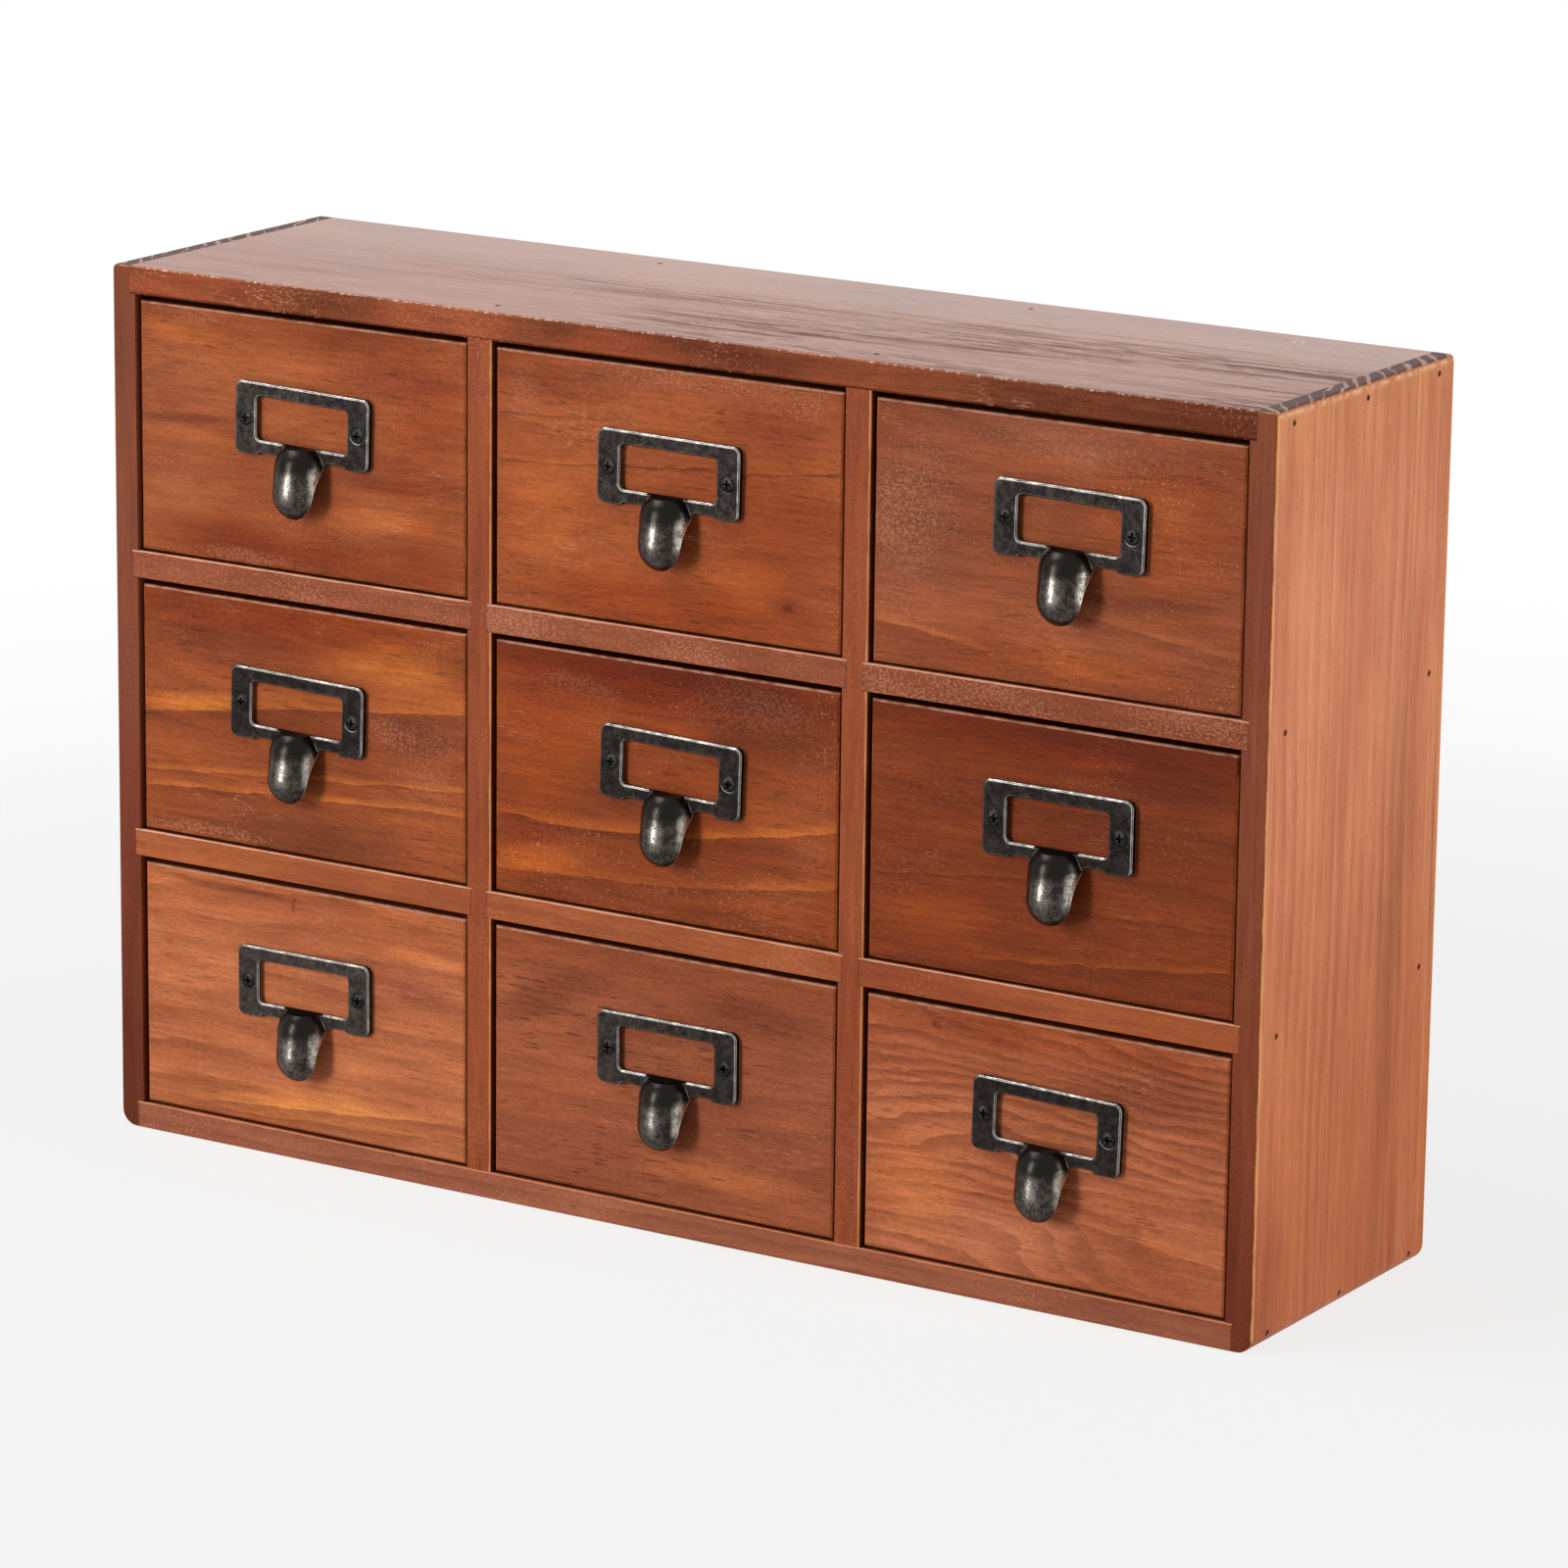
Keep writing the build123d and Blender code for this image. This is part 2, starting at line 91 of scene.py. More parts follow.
floor_paint = bpy.data.materials.new("pale floor")
floor_paint.use_nodes = True
tree = floor_paint.node_tree
tree.nodes.clear()
distance = measure(tree, "LENGTH", add_node(tree, "ShaderNodeTexCoord", {}).outputs["Object"])
whiteness = ramp(tree, distance, shadow_reach, white_reach, 0.8, 1.0)
share = calculate(tree, "MULTIPLY", seen_directly(tree), whiteness)
glow = add_node(tree, "ShaderNodeEmission", {"Color": (1, 1, 1, 1), "Strength": 1.0})
matt = add_node(tree, "ShaderNodeBsdfDiffuse", {"Color": (0.6, 0.6, 0.6, 1)})
both = add_node(tree, "ShaderNodeMixShader", {0: share, 1: matt.outputs[0], 2: glow.outputs[0]})
add_node(tree, "ShaderNodeOutputMaterial", {"Surface": both.outputs[0]})
floor_mesh.materials.append(floor_paint)

# Plain soft studio light: an even white room, a tall soft box on each side and a wide
# one overhead.
room_light = 0.16
world = bpy.data.worlds.new("studio")
bpy.context.scene.world = world
world.use_nodes = True
tree = world.node_tree
tree.nodes.clear()
strength = calculate(tree, "MULTIPLY_ADD", seen_directly(tree), 1.0 - room_light, room_light)
background = add_node(tree, "ShaderNodeBackground", {"Color": (1, 1, 1, 1), "Strength": strength})
add_node(tree, "ShaderNodeOutputWorld", {"Surface": background.outputs[0]})


def hang_soft_box(name, azimuth, elevation, size, power):
    """An area lamp 1.6 m from the cabinet's middle; azimuth 0 is straight in front."""
    cabinet_middle, distance = Vector((0, 0, 0.13)), 1.6
    azimuth, elevation = radians(azimuth), radians(elevation)
    lamp = bpy.data.lights.new(name, "AREA")
    lamp.shape = "RECTANGLE"
    lamp.size, lamp.size_y = size
    lamp.energy = power
    stand = bpy.data.objects.new(name, lamp)
    bearing = Vector((
        sin(azimuth) * cos(elevation), -cos(azimuth) * cos(elevation), sin(elevation),
    ))
    stand.location = cabinet_middle + bearing * distance
    stand.rotation_euler = bearing.to_track_quat("Z", "Y").to_euler()
    bpy.context.scene.collection.objects.link(stand)


hang_soft_box("left_soft_box", azimuth=-28, elevation=12, size=(0.34, 0.9), power=15.0)
hang_soft_box("right_soft_box", azimuth=92, elevation=13, size=(0.34, 0.9), power=14.6)
hang_soft_box("high_soft_box", azimuth=-62, elevation=56, size=(0.9, 0.6), power=12.5)


# Dividers: two pine uprights, housed on both faces for the shelves and nailed through the
# top and bottom panels. Like the whole carcass, they are brushed with a red-brown stain
# and a thin uneven varnish that is rubbed through along the edges.
def open_group(name, inputs, outputs):
    """An empty shader group: inputs by name and default, outputs by name and kind."""
    kinds = {float: "NodeSocketFloat", tuple: "NodeSocketVector", list: "NodeSocketColor"}
    tree = bpy.data.node_groups.new(name, "ShaderNodeTree")
    for label, value in inputs.items():
        socket = tree.interface.new_socket(label, in_out="INPUT", socket_type=kinds[type(value)])
        socket.default_value = value
    for label, kind in outputs.items():
        tree.interface.new_socket(label, in_out="OUTPUT", socket_type=kinds[kind])
    given = tree.nodes.new("NodeGroupInput").outputs
    return tree, given, tree.nodes.new("NodeGroupOutput").inputs


def place_group(tree, group, inputs):
    """The outputs of a group placed in a material with its own values."""
    return add_node(tree, "ShaderNodeGroup", inputs, node_tree=group).outputs


def product(tree, first, *others):
    """All the values multiplied, from left to right."""
    for other in others:
        first = calculate(tree, "MULTIPLY", first, other)
    return first


def vector_math(tree, operation, first, second):
    """The vector result of a Vector Math node."""
    return add_node(tree, "ShaderNodeVectorMath", {0: first, 1: second},
                    operation=operation).outputs[0]


def coordinate(tree, place, axis):
    """One of the place's three coordinates, in metres."""
    return add_node(tree, "ShaderNodeSeparateXYZ", {0: place}).outputs["xyz".index(axis)]


def noise(tree, vector, scale, detail=2.0, roughness=0.5):
    """Cloudy noise around 0.5, with its own number of waves per metre along each axis."""
    return add_node(tree, "ShaderNodeTexNoise", {
        "Vector": vector_math(tree, "MULTIPLY", vector, scale), "Scale": 1.0,
        "Detail": detail, "Roughness": roughness,
    }).outputs[0]


def blend(tree, factor, first, second, mode="MIX"):
    """One colour laid over another."""
    return add_node(tree, "ShaderNodeMixRGB", {0: factor, 1: first, 2: second},
                    blend_type=mode).outputs[0]


def tinted(tree, mask, face, tint):
    """The face colour multiplied by a tint as far as the mask goes."""
    return blend(tree, mask, face, tint, "MULTIPLY")


# Grain along the vector's first axis, growth rings stacked along its third.
pine, given, result = open_group(
    "stained pine",
    {
        "Vector": (0.0, 0.0, 0.0), "Light": [0.4, 0.12, 0.04, 1], "Middle": [0.3, 0.08, 0.03, 1],
        "Dark": [0.15, 0.04, 0.02, 1], "Ring Spacing": 0.006, "Wander": 0.006, "Tilt": 0.0,
        "Figure": 0.5, "Flecks": 0.5, "Fibre": 0.3,
    },
    {"Color": list, "Height": float},
)
grain = given["Vector"]
along, through, across = add_node(pine, "ShaderNodeSeparateXYZ", {0: grain}).outputs
drift = calculate(pine, "SUBTRACT", noise(pine, grain, (7, 18, 18)), 0.5)
ripple = noise(pine, grain, (45, 190, 190), detail=3, roughness=0.6)
ripple = calculate(pine, "SUBTRACT", ripple, 0.5)
rise = calculate(pine, "MULTIPLY_ADD", through, 0.45, across)
rise = calculate(pine, "MULTIPLY_ADD", along, given["Tilt"], rise)
rise = calculate(pine, "MULTIPLY_ADD", drift, product(pine, given["Wander"], 4.0), rise)
rise = calculate(pine, "MULTIPLY_ADD", ripple, product(pine, given["Wander"], 0.3), rise)
phase = calculate(pine, "FRACT", calculate(pine, "DIVIDE", rise, given["Ring Spacing"]))
late_wood = product(pine, ramp(pine, phase, 0.15, 0.92), ramp(pine, phase, 0.94, 1.0, 1.0, 0.0))
patchy = ramp(pine, noise(pine, grain, (9, 32, 32), detail=3), 0.34, 0.66, 0.1, 1.0)
ring = product(pine, late_wood, patchy, given["Figure"])
cloud = ramp(pine, noise(pine, grain, (12, 46, 46), detail=4, roughness=0.62), 0.34, 0.66)
tone = blend(pine, ring, blend(pine, cloud, given["Light"], given["Middle"]), given["Dark"])
streak = noise(pine, grain, (60, 900, 900), detail=3, roughness=0.75)
speckle = noise(pine, grain, (700, 1500, 1500), detail=2, roughness=0.7)
fine = calculate(pine, "MULTIPLY_ADD", streak, 0.6, product(pine, speckle, 0.4))
lift = add_node(pine, "ShaderNodeMapRange", {
    "Value": fine, "From Min": 0.36, "From Max": 0.64, "To Min": -1.0, "To Max": 1.0,
}).outputs[0]
shade = calculate(pine, "MULTIPLY_ADD", lift, given["Fibre"], 1.0)
tone = vector_math(pine, "MULTIPLY", tone, shade)
dashes = ramp(pine, noise(pine, grain, (140, 1200, 1200), detail=1), 0.62, 0.72)
flecked_area = ramp(pine, noise(pine, grain, (25, 50, 50), detail=1), 0.4, 0.56)
dashes = product(pine, dashes, flecked_area)
dashes = calculate(pine, "MULTIPLY", dashes, given["Flecks"], clamp=True)
pine.links.new(blend(pine, dashes, tone, given["Dark"]), result["Color"])
pine.links.new(calculate(pine, "SUBTRACT", fine, product(pine, dashes, 0.5)), result["Height"])

# Edge is 1 where a board is near one of its edges: there two of the distances from its
# faces are small, so it is the middle one of the three that counts.
board_edge, given, result = open_group(
    "rubbed edge",
    {"Vector": (0.0, 0.0, 0.0), "Low": (0.0, 0.0, 0.0), "High": (1.0, 1.0, 1.0), "Reach": 0.001},
    {"Edge": float},
)
above_low = vector_math(board_edge, "SUBTRACT", given["Vector"], given["Low"])
below_high = vector_math(board_edge, "SUBTRACT", given["High"], given["Vector"])
inside = vector_math(board_edge, "MINIMUM", above_low, below_high)
dx, dy, dz = add_node(board_edge, "ShaderNodeSeparateXYZ", {0: inside}).outputs
smaller = calculate(board_edge, "MINIMUM", dx, dz)
larger = calculate(board_edge, "MAXIMUM", dx, dz)
line = calculate(board_edge, "MINIMUM", larger, calculate(board_edge, "MAXIMUM", smaller, dy))
uneven = noise(board_edge, given["Vector"], (150, 150, 150), detail=3)
uneven = ramp(board_edge, uneven, 0.3, 0.7, 0.6, 1.1)
wear_and_highlight = calculate(board_edge, "DIVIDE", line, product(board_edge, given["Reach"], uneven))
board_edge.links.new(ramp(board_edge, wear_and_highlight, 0.5, 1.1, 1.0, 0.0), result["Edge"])

# Painted glints of the varnish: pale specks where it has a pebbled skin, thicker in some
# areas than others, and short pale wrinkles where it dragged.
varnish, given, result = open_group(
    "varnish specks",
    {"Vector": (0.0, 0.0, 0.0), "Amount": 0.5, "Cover": 0.0, "Wrinkles": 0.0},
    {"Glints": float, "Height": float},
)
dots = noise(varnish, given["Vector"], (900, 1300, 1500), detail=3, roughness=0.75)
areas = ramp(varnish, noise(varnish, given["Vector"], (28, 28, 46), detail=3), 0.4, 0.68)
threshold = calculate(varnish, "MULTIPLY_ADD", areas, -0.10, 0.68)
threshold = calculate(varnish, "MULTIPLY_ADD", given["Cover"], -0.14, threshold)
glints = ramp(varnish, calculate(varnish, "SUBTRACT", dots, threshold), -0.03, 0.1)
glints = product(varnish, glints, given["Amount"])
folds = noise(varnish, given["Vector"], (80, 480, 560), detail=2, roughness=0.6)
folds = calculate(varnish, "ABSOLUTE", calculate(varnish, "SUBTRACT", folds, 0.5))
dragged = ramp(varnish, noise(varnish, given["Vector"], (26, 26, 44), detail=2), 0.54, 0.64)
wrinkles = product(varnish, ramp(varnish, folds, 0.011, 0.003), dragged, given["Wrinkles"])
skin = calculate(varnish, "MAXIMUM", glints, wrinkles, clamp=True)
varnish.links.new(skin, result["Glints"])
varnish.links.new(dots, result["Height"])


def colour(red, green, blue):
    """A shader colour from display values of 0 to 255."""
    def linear(value):
        value /= 255.0
        return value / 12.92 if value <= 0.04045 else ((value + 0.055) / 1.055) ** 2.4
    return linear(red), linear(green), linear(blue), 1.0


def new_finish(name, roughness, gloss, metallic=0.0):
    """A material's tree and shader, with the object's own coordinates."""
    material = bpy.data.materials.new(name)
    material.use_nodes = True
    tree = material.node_tree
    shader = tree.nodes["Principled BSDF"]
    shader.inputs["Roughness"].default_value = roughness
    shader.inputs["Specular IOR Level"].default_value = gloss
    shader.inputs["Metallic"].default_value = metallic
    return material, tree, shader, add_node(tree, "ShaderNodeTexCoord", {}).outputs["Object"]


def turn_grain(tree, vector, order, offset):
    """The place in a board's own wood: grain runs along the first axis named in order."""
    parts = {index: coordinate(tree, vector, axis) for index, axis in enumerate(order)}
    turned = add_node(tree, "ShaderNodeCombineXYZ", parts)
    return vector_math(tree, "ADD", turned.outputs[0], offset)


def relief(tree, shader, height, depth):
    """Raises the surface by a height from 0 to 1, depth metres deep."""
    bump = add_node(tree, "ShaderNodeBump", {"Height": height, "Strength": 1.0, "Distance": depth})
    tree.links.new(bump.outputs[0], shader.inputs["Normal"])


def dress(node, material):
    """Gives a CAD piece its finish."""
    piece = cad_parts[node]
    piece.data.materials.clear()
    piece.data.materials.append(material)


varnish_roughness, varnish_depth = 0.45, 0.0002


def board(node, order, seed, stain, spacing=0.005, wander=0.004, tilt=0.0, figure=0.45,
          flecks=0.3, fibre=0.16, glints=0.4, cover=0.0, wrinkles=0.3, gloss=0.1, reach=0.0006,
          bounds=None):
    """A stained board's material up to its rubbed edges; returns what a piece may add to.

    Order and seed place it in its own wood, stain is its light, middle and dark colour as
    display values, and reach is how far the rubbing goes in from the edges of its bounds.
    """
    material, tree, shader, place = new_finish(node.replace("_", " "), varnish_roughness, gloss)
    grain = turn_grain(tree, place, order, (seed * 1.7, seed * 0.61, seed * 2.3))
    light, middle, dark = (colour(*tone) for tone in stain)
    wood = place_group(tree, pine, {
        "Vector": grain, "Light": light, "Middle": middle, "Dark": dark, "Ring Spacing": spacing,
        "Wander": wander, "Tilt": tilt, "Figure": figure, "Flecks": flecks, "Fibre": fibre,
    })
    low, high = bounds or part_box(node)
    edge = place_group(tree, board_edge, {
        "Vector": place, "Low": low, "High": high, "Reach": reach,
    })["Edge"]
    skin = place_group(tree, varnish, {
        "Vector": vector_math(tree, "ADD", place, (seed, 0, 0)), "Amount": glints,
        "Cover": cover, "Wrinkles": wrinkles,
    })
    height = calculate(tree, "MULTIPLY_ADD", wood["Height"], 0.8, skin["Height"])
    relief(tree, shader, height, varnish_depth)
    dress(node, material)
    return tree, shader, place, grain, wood["Color"], edge, skin["Glints"]


def close_board(tree, shader, face, glints):
    """Lays the painted glints of the varnish over the face colour and hands it to the shader."""
    # Painted glints: pale colour where the varnish would catch the light.
    glinting = blend(tree, glints, face, colour(206, 140, 106))
    tree.links.new(glinting, shader.inputs["Base Color"])


# Painted shade for wood behind the front edges, in the cells and gaps.
cell_shade = (0.42, 0.36, 0.36, 1)


def paint_shade_behind(tree, place, face, front):
    """Darkens a board behind its front edge with painted shade, as in the dark cells and gaps."""
    behind = ramp(tree, coordinate(tree, place, "y"), front + 0.0003, front + 0.0008)
    return tinted(tree, behind, face, cell_shade)


def highlight_end_edge(tree, place, face, edge, axis, end, tint):
    """Lightens the rubbed edge at a board's end along an axis with a painted highlight, where that
    edge faces the lamps.
    """
    near_end = ramp(tree, coordinate(tree, place, axis), end - 0.0012, end - 0.0008)
    return blend(tree, product(tree, edge, near_end), face, tint)


# Ends that meet another board have their bounds far outside, because nothing rubs them.
carcass_front = -0.05
divider_stain = (160, 80, 42), (142, 67, 36), (104, 46, 26)
for count, node in enumerate(("left_divider", "right_divider")):
    low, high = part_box(node)
    tree, shader, place, grain, face, edge, glints = board(
        node, "zyx", 0.3 + count, divider_stain, figure=0.25, glints=0.35, cover=0.3,
        bounds=((low[0], low[1], -1), (high[0], high[1], 1)))
    # Painted shade behind the front edge, and a painted highlight on the right edge.
    face = paint_shade_behind(tree, place, face, carcass_front)
    face = highlight_end_edge(tree, place, face, edge, "x", high[0], colour(228, 156, 104))
    close_board(tree, shader, face, glints)


# Shelves: six short pine boards, one under each drawer above the bottom row. Their ends sit
# in housings in the sides and dividers. The middle row took the stain a little lighter, and
# the right column darker.
def joint_lines(tree, place, face, ends):
    """A thin dark line where the board's ends meet its neighbours on the front."""
    x = coordinate(tree, place, "x")
    for end in ends:
        gap = calculate(tree, "ABSOLUTE", calculate(tree, "SUBTRACT", x, end))
        face = tinted(tree, ramp(tree, gap, 0.0002, 0.0005, 0.8, 0.0), face, (0.4, 0.34, 0.34, 1))
    return face


shelf_looks = {
    "middle": dict(stain=((178, 96, 52), (156, 80, 43), (112, 53, 30)), cover=0.3),
    "top": dict(stain=((158, 84, 52), (136, 68, 40), (98, 45, 27)), cover=0.8),
}
# Pale colour of the painted highlight along upper edges.
pale_highlight = colour(216, 158, 130)
shelf_places = [(row, column) for row in shelf_looks for column in ("left", "centre", "right")]
for count, (row, column) in enumerate(shelf_places):
    node = f"{row}_{column}_shelf"
    low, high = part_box(node)
    tree, shader, place, grain, face, edge, glints = board(
        node, "xyz", 2.1 + count, **shelf_looks[row], figure=0.3, glints=0.5,
        bounds=((-1, low[1], low[2]), (1, high[1], high[2])))
    if column == "right":
        face = tinted(tree, 1.0, face, (0.92, 0.83, 0.81, 1))
    # Painted shade behind the front edge, and a painted highlight along the top edge.
    face = paint_shade_behind(tree, place, face, carcass_front)
    face = joint_lines(tree, place, face, (low[0], high[0]))
    face = highlight_end_edge(tree, place, face, edge, "z", high[2], pale_highlight)
    close_board(tree, shader, face, glints)


# Bottom panel: one pine board across the whole width, let into the rebates of the sides
# and nailed. Its front edge is paler than the shelves and more rubbed.
def rub_edges(tree, face, edge, rub):
    """Lays the colour of rubbed wood along the edges."""
    return blend(tree, product(tree, edge, 0.8), face, rub)


orange_rub = colour(206, 124, 74)
low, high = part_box("bottom_panel")
tree, shader, place, grain, face, edge, glints = board(
    "bottom_panel", "xyz", 9.1, ((170, 100, 70), (152, 85, 59), (108, 56, 40)),
    glints=0.5, cover=0.4, bounds=((-1, low[1], low[2]), (1, high[1], high[2])))
# Painted shade behind the front edge, and a painted highlight along the top edge.
face = paint_shade_behind(tree, place, face, carcass_front)
face = joint_lines(tree, place, face, (low[0], high[0]))
face = highlight_end_edge(tree, place, face, edge, "z", high[2], pale_highlight)
close_board(tree, shader, rub_edges(tree, face, edge, orange_rub), glints)

# Top panel: one pine board, let into the rebates of the sides and nailed from above. The
# varnish on its upper face is thick and shines at a low angle, with long dark streaks and
# worn skin that break it. Stain has pooled along its front edge.
growth_line, given, result = open_group(
    "growth line",
    {"Vector": (0.0, 0.0, 0.0), "Height": 0.0, "Slope": 0.0, "Bow": 0.0, "Start": -0.06,
     "End": 0.06, "Glow Height": 0.006, "Shade Depth": 0.004},
    {"Glow": float, "Shade": float},
)
x, y, z = add_node(growth_line, "ShaderNodeSeparateXYZ", {0: given["Vector"]}).outputs
bowed = product(growth_line, x, given["Bow"])
curve = calculate(growth_line, "MULTIPLY_ADD", bowed, x, given["Height"])
curve = calculate(growth_line, "MULTIPLY_ADD", x, given["Slope"], curve)
above = calculate(growth_line, "SUBTRACT", z, curve)
begin = ramp(growth_line, calculate(growth_line, "SUBTRACT", x, given["Start"]), -0.006, 0.006)
finish = ramp(growth_line, calculate(growth_line, "SUBTRACT", given["End"], x), -0.006, 0.006)
length = product(growth_line, begin, finish)
for name, reach, sign in (("Glow", "Glow Height", 1.0), ("Shade", "Shade Depth", -1.0)):
    side = product(growth_line, above, sign)
    fade = calculate(growth_line, "DIVIDE", side, given[reach])
    fade = calculate(growth_line, "SUBTRACT", 1.0, fade, clamp=True)
    fade = product(growth_line, fade, ramp(growth_line, side, -0.0001, 0.0002), length)
    growth_line.links.new(fade, result[name])


def wandering(tree, vector, grain, amount):
    """The vector pushed about by slow noise, so that what is laid out on it looks grown."""
    drift = add_node(tree, "ShaderNodeTexNoise", {
        "Vector": vector_math(tree, "MULTIPLY", grain, (26, 26, 70)), "Scale": 1.0,
        "Detail": 4.0, "Roughness": 0.68,
    }).outputs["Color"]
    drift = vector_math(tree, "SUBTRACT", drift, (0.5, 0.5, 0.5))
    return vector_math(tree, "ADD", vector, vector_math(tree, "MULTIPLY", drift, amount))


# Streaks in millimetres from the middle of the board: towards the back, slope, start, end,
# depth, strength.
streak_marks = (
    (6.5, 0.0, -70, 190, 2.6, 0.9), (-1.0, 0.0, -20, 190, 2.2, 0.8),
    (-8.0, 0.0, 60, 190, 2.2, 0.9), (18.5, 0.01, 60, 150, 2.0, 0.6),
    (12.5, 0.0, 20, 130, 1.6, 0.6), (-15.0, 0.0, -10, 120, 3.5, 0.5),
    (-24.0, 0.01, -40, 150, 2.2, 0.5), (1.5, 0.0, -130, -20, 2.2, 0.45),
    (-12.0, 0.0, -150, -60, 3.0, 0.35),
)
cabinet_top = 0.255
low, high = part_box("top_panel")
tree, shader, place, grain, face, edge, glints = board(
    "top_panel", "xyz", 10.4, ((182, 106, 66), (164, 88, 54), (112, 60, 38)),
    spacing=0.006, figure=0.3, fibre=0.24, glints=0.6, cover=0.2, wrinkles=0.9, gloss=0.0,
    reach=0.0007, bounds=((-1, low[1], -1), (1, high[1], high[2])))
x, y, z = (coordinate(tree, place, axis) for axis in "xyz")
upper_face = ramp(tree, z, cabinet_top - 0.0004, cabinet_top - 0.0001)
seen_from_above = add_node(tree, "ShaderNodeCombineXYZ", {0: x, 2: y}).outputs[0]
seen_from_above = wandering(tree, seen_from_above, grain, (0.02, 0.0, 0.004))
streaks = 0.0
for height, slope, start, end, depth, strength in streak_marks:
    streak = place_group(tree, growth_line, {
        "Vector": seen_from_above, "Height": height / 1000, "Slope": slope,
        "Start": start / 1000, "End": end / 1000, "Shade Depth": depth / 1000,
    })["Shade"]
    streaks = calculate(tree, "MAXIMUM", streaks, product(tree, streak, strength))

# The streaks thin out here and there, and between them the skin is worn through, most of
# all in the front half and towards the right.
thinned = noise(tree, place, (30, 300, 300), detail=3, roughness=0.7)
streaks = product(tree, streaks, ramp(tree, thinned, 0.4, 0.56, 0.4, 1.0))
worn_skin = noise(tree, place, (55, 330, 330), detail=5, roughness=0.85)
worn_skin = ramp(tree, worn_skin, 0.47, 0.57)
long_lines = noise(tree, seen_from_above, (9, 0, 250), detail=2, roughness=0.6)
long_lines = ramp(tree, long_lines, 0.54, 0.6, 0.0, 0.9)
worn_skin = calculate(tree, "MAXIMUM", product(tree, worn_skin, 0.7), long_lines)
worn_area = product(
    tree, ramp(tree, noise(tree, place, (12, 50, 50), detail=3), 0.4, 0.6, 0.3, 1.0),
    ramp(tree, y, 0.022, 0.004), ramp(tree, x, -0.11, 0.03, 0.25, 1.0))
worn_skin = product(tree, worn_skin, worn_area)
streaks = product(tree, calculate(tree, "MAXIMUM", streaks, worn_skin), upper_face)
face = blend(tree, streaks, face, colour(112, 66, 46))

# Stain pooled along the front edge, more towards the right, and painted shade on the lower face.
front_edge = product(tree, ramp(tree, y, carcass_front + 0.0008, carcass_front + 0.0003),
                     ramp(tree, z, cabinet_top + 0.0002, cabinet_top - 0.0003))
pooled = ramp(tree, noise(tree, place, (22, 22, 60), detail=3), 0.38, 0.6)
pooled = calculate(tree, "MAXIMUM", pooled, ramp(tree, x, 0.0, 0.17, 0.0, 0.9))
front_tint = blend(tree, pooled, (0.77, 0.66, 0.74, 1), (0.42, 0.40, 0.50, 1))
face = tinted(tree, front_edge, face, front_tint)
# Painted shade on the lower face, inside the cells below the top.
face = tinted(tree, ramp(tree, z, low[2] + 0.0008, low[2] + 0.0003), face, cell_shade)

# A knock near the right rear corner: wood crushed pale around a dark dent.
knock = measure(tree, "DISTANCE", place, (0.145, 0.0405, cabinet_top))
face = blend(tree, ramp(tree, knock, 0.0022, 0.0015), face, colour(208, 174, 160))
face = blend(tree, ramp(tree, knock, 0.0012, 0.0009), face, colour(50, 28, 22))

broken = ramp(tree, noise(tree, place, (700, 700, 700), detail=2), 0.48, 0.66)
face = rub_edges(tree, face, product(tree, edge, broken), colour(236, 186, 160))
close_board(tree, shader, face, glints)
shine = calculate(tree, "MULTIPLY_ADD", streaks, -0.72, ramp(tree, y, -0.02, 0.045, 0.88, 1.0))
shine = calculate(tree, "MULTIPLY", upper_face, shine, clamp=True)
tree.links.new(shine, shader.inputs["Coat Weight"])
shader.inputs["Coat Roughness"].default_value = 0.2
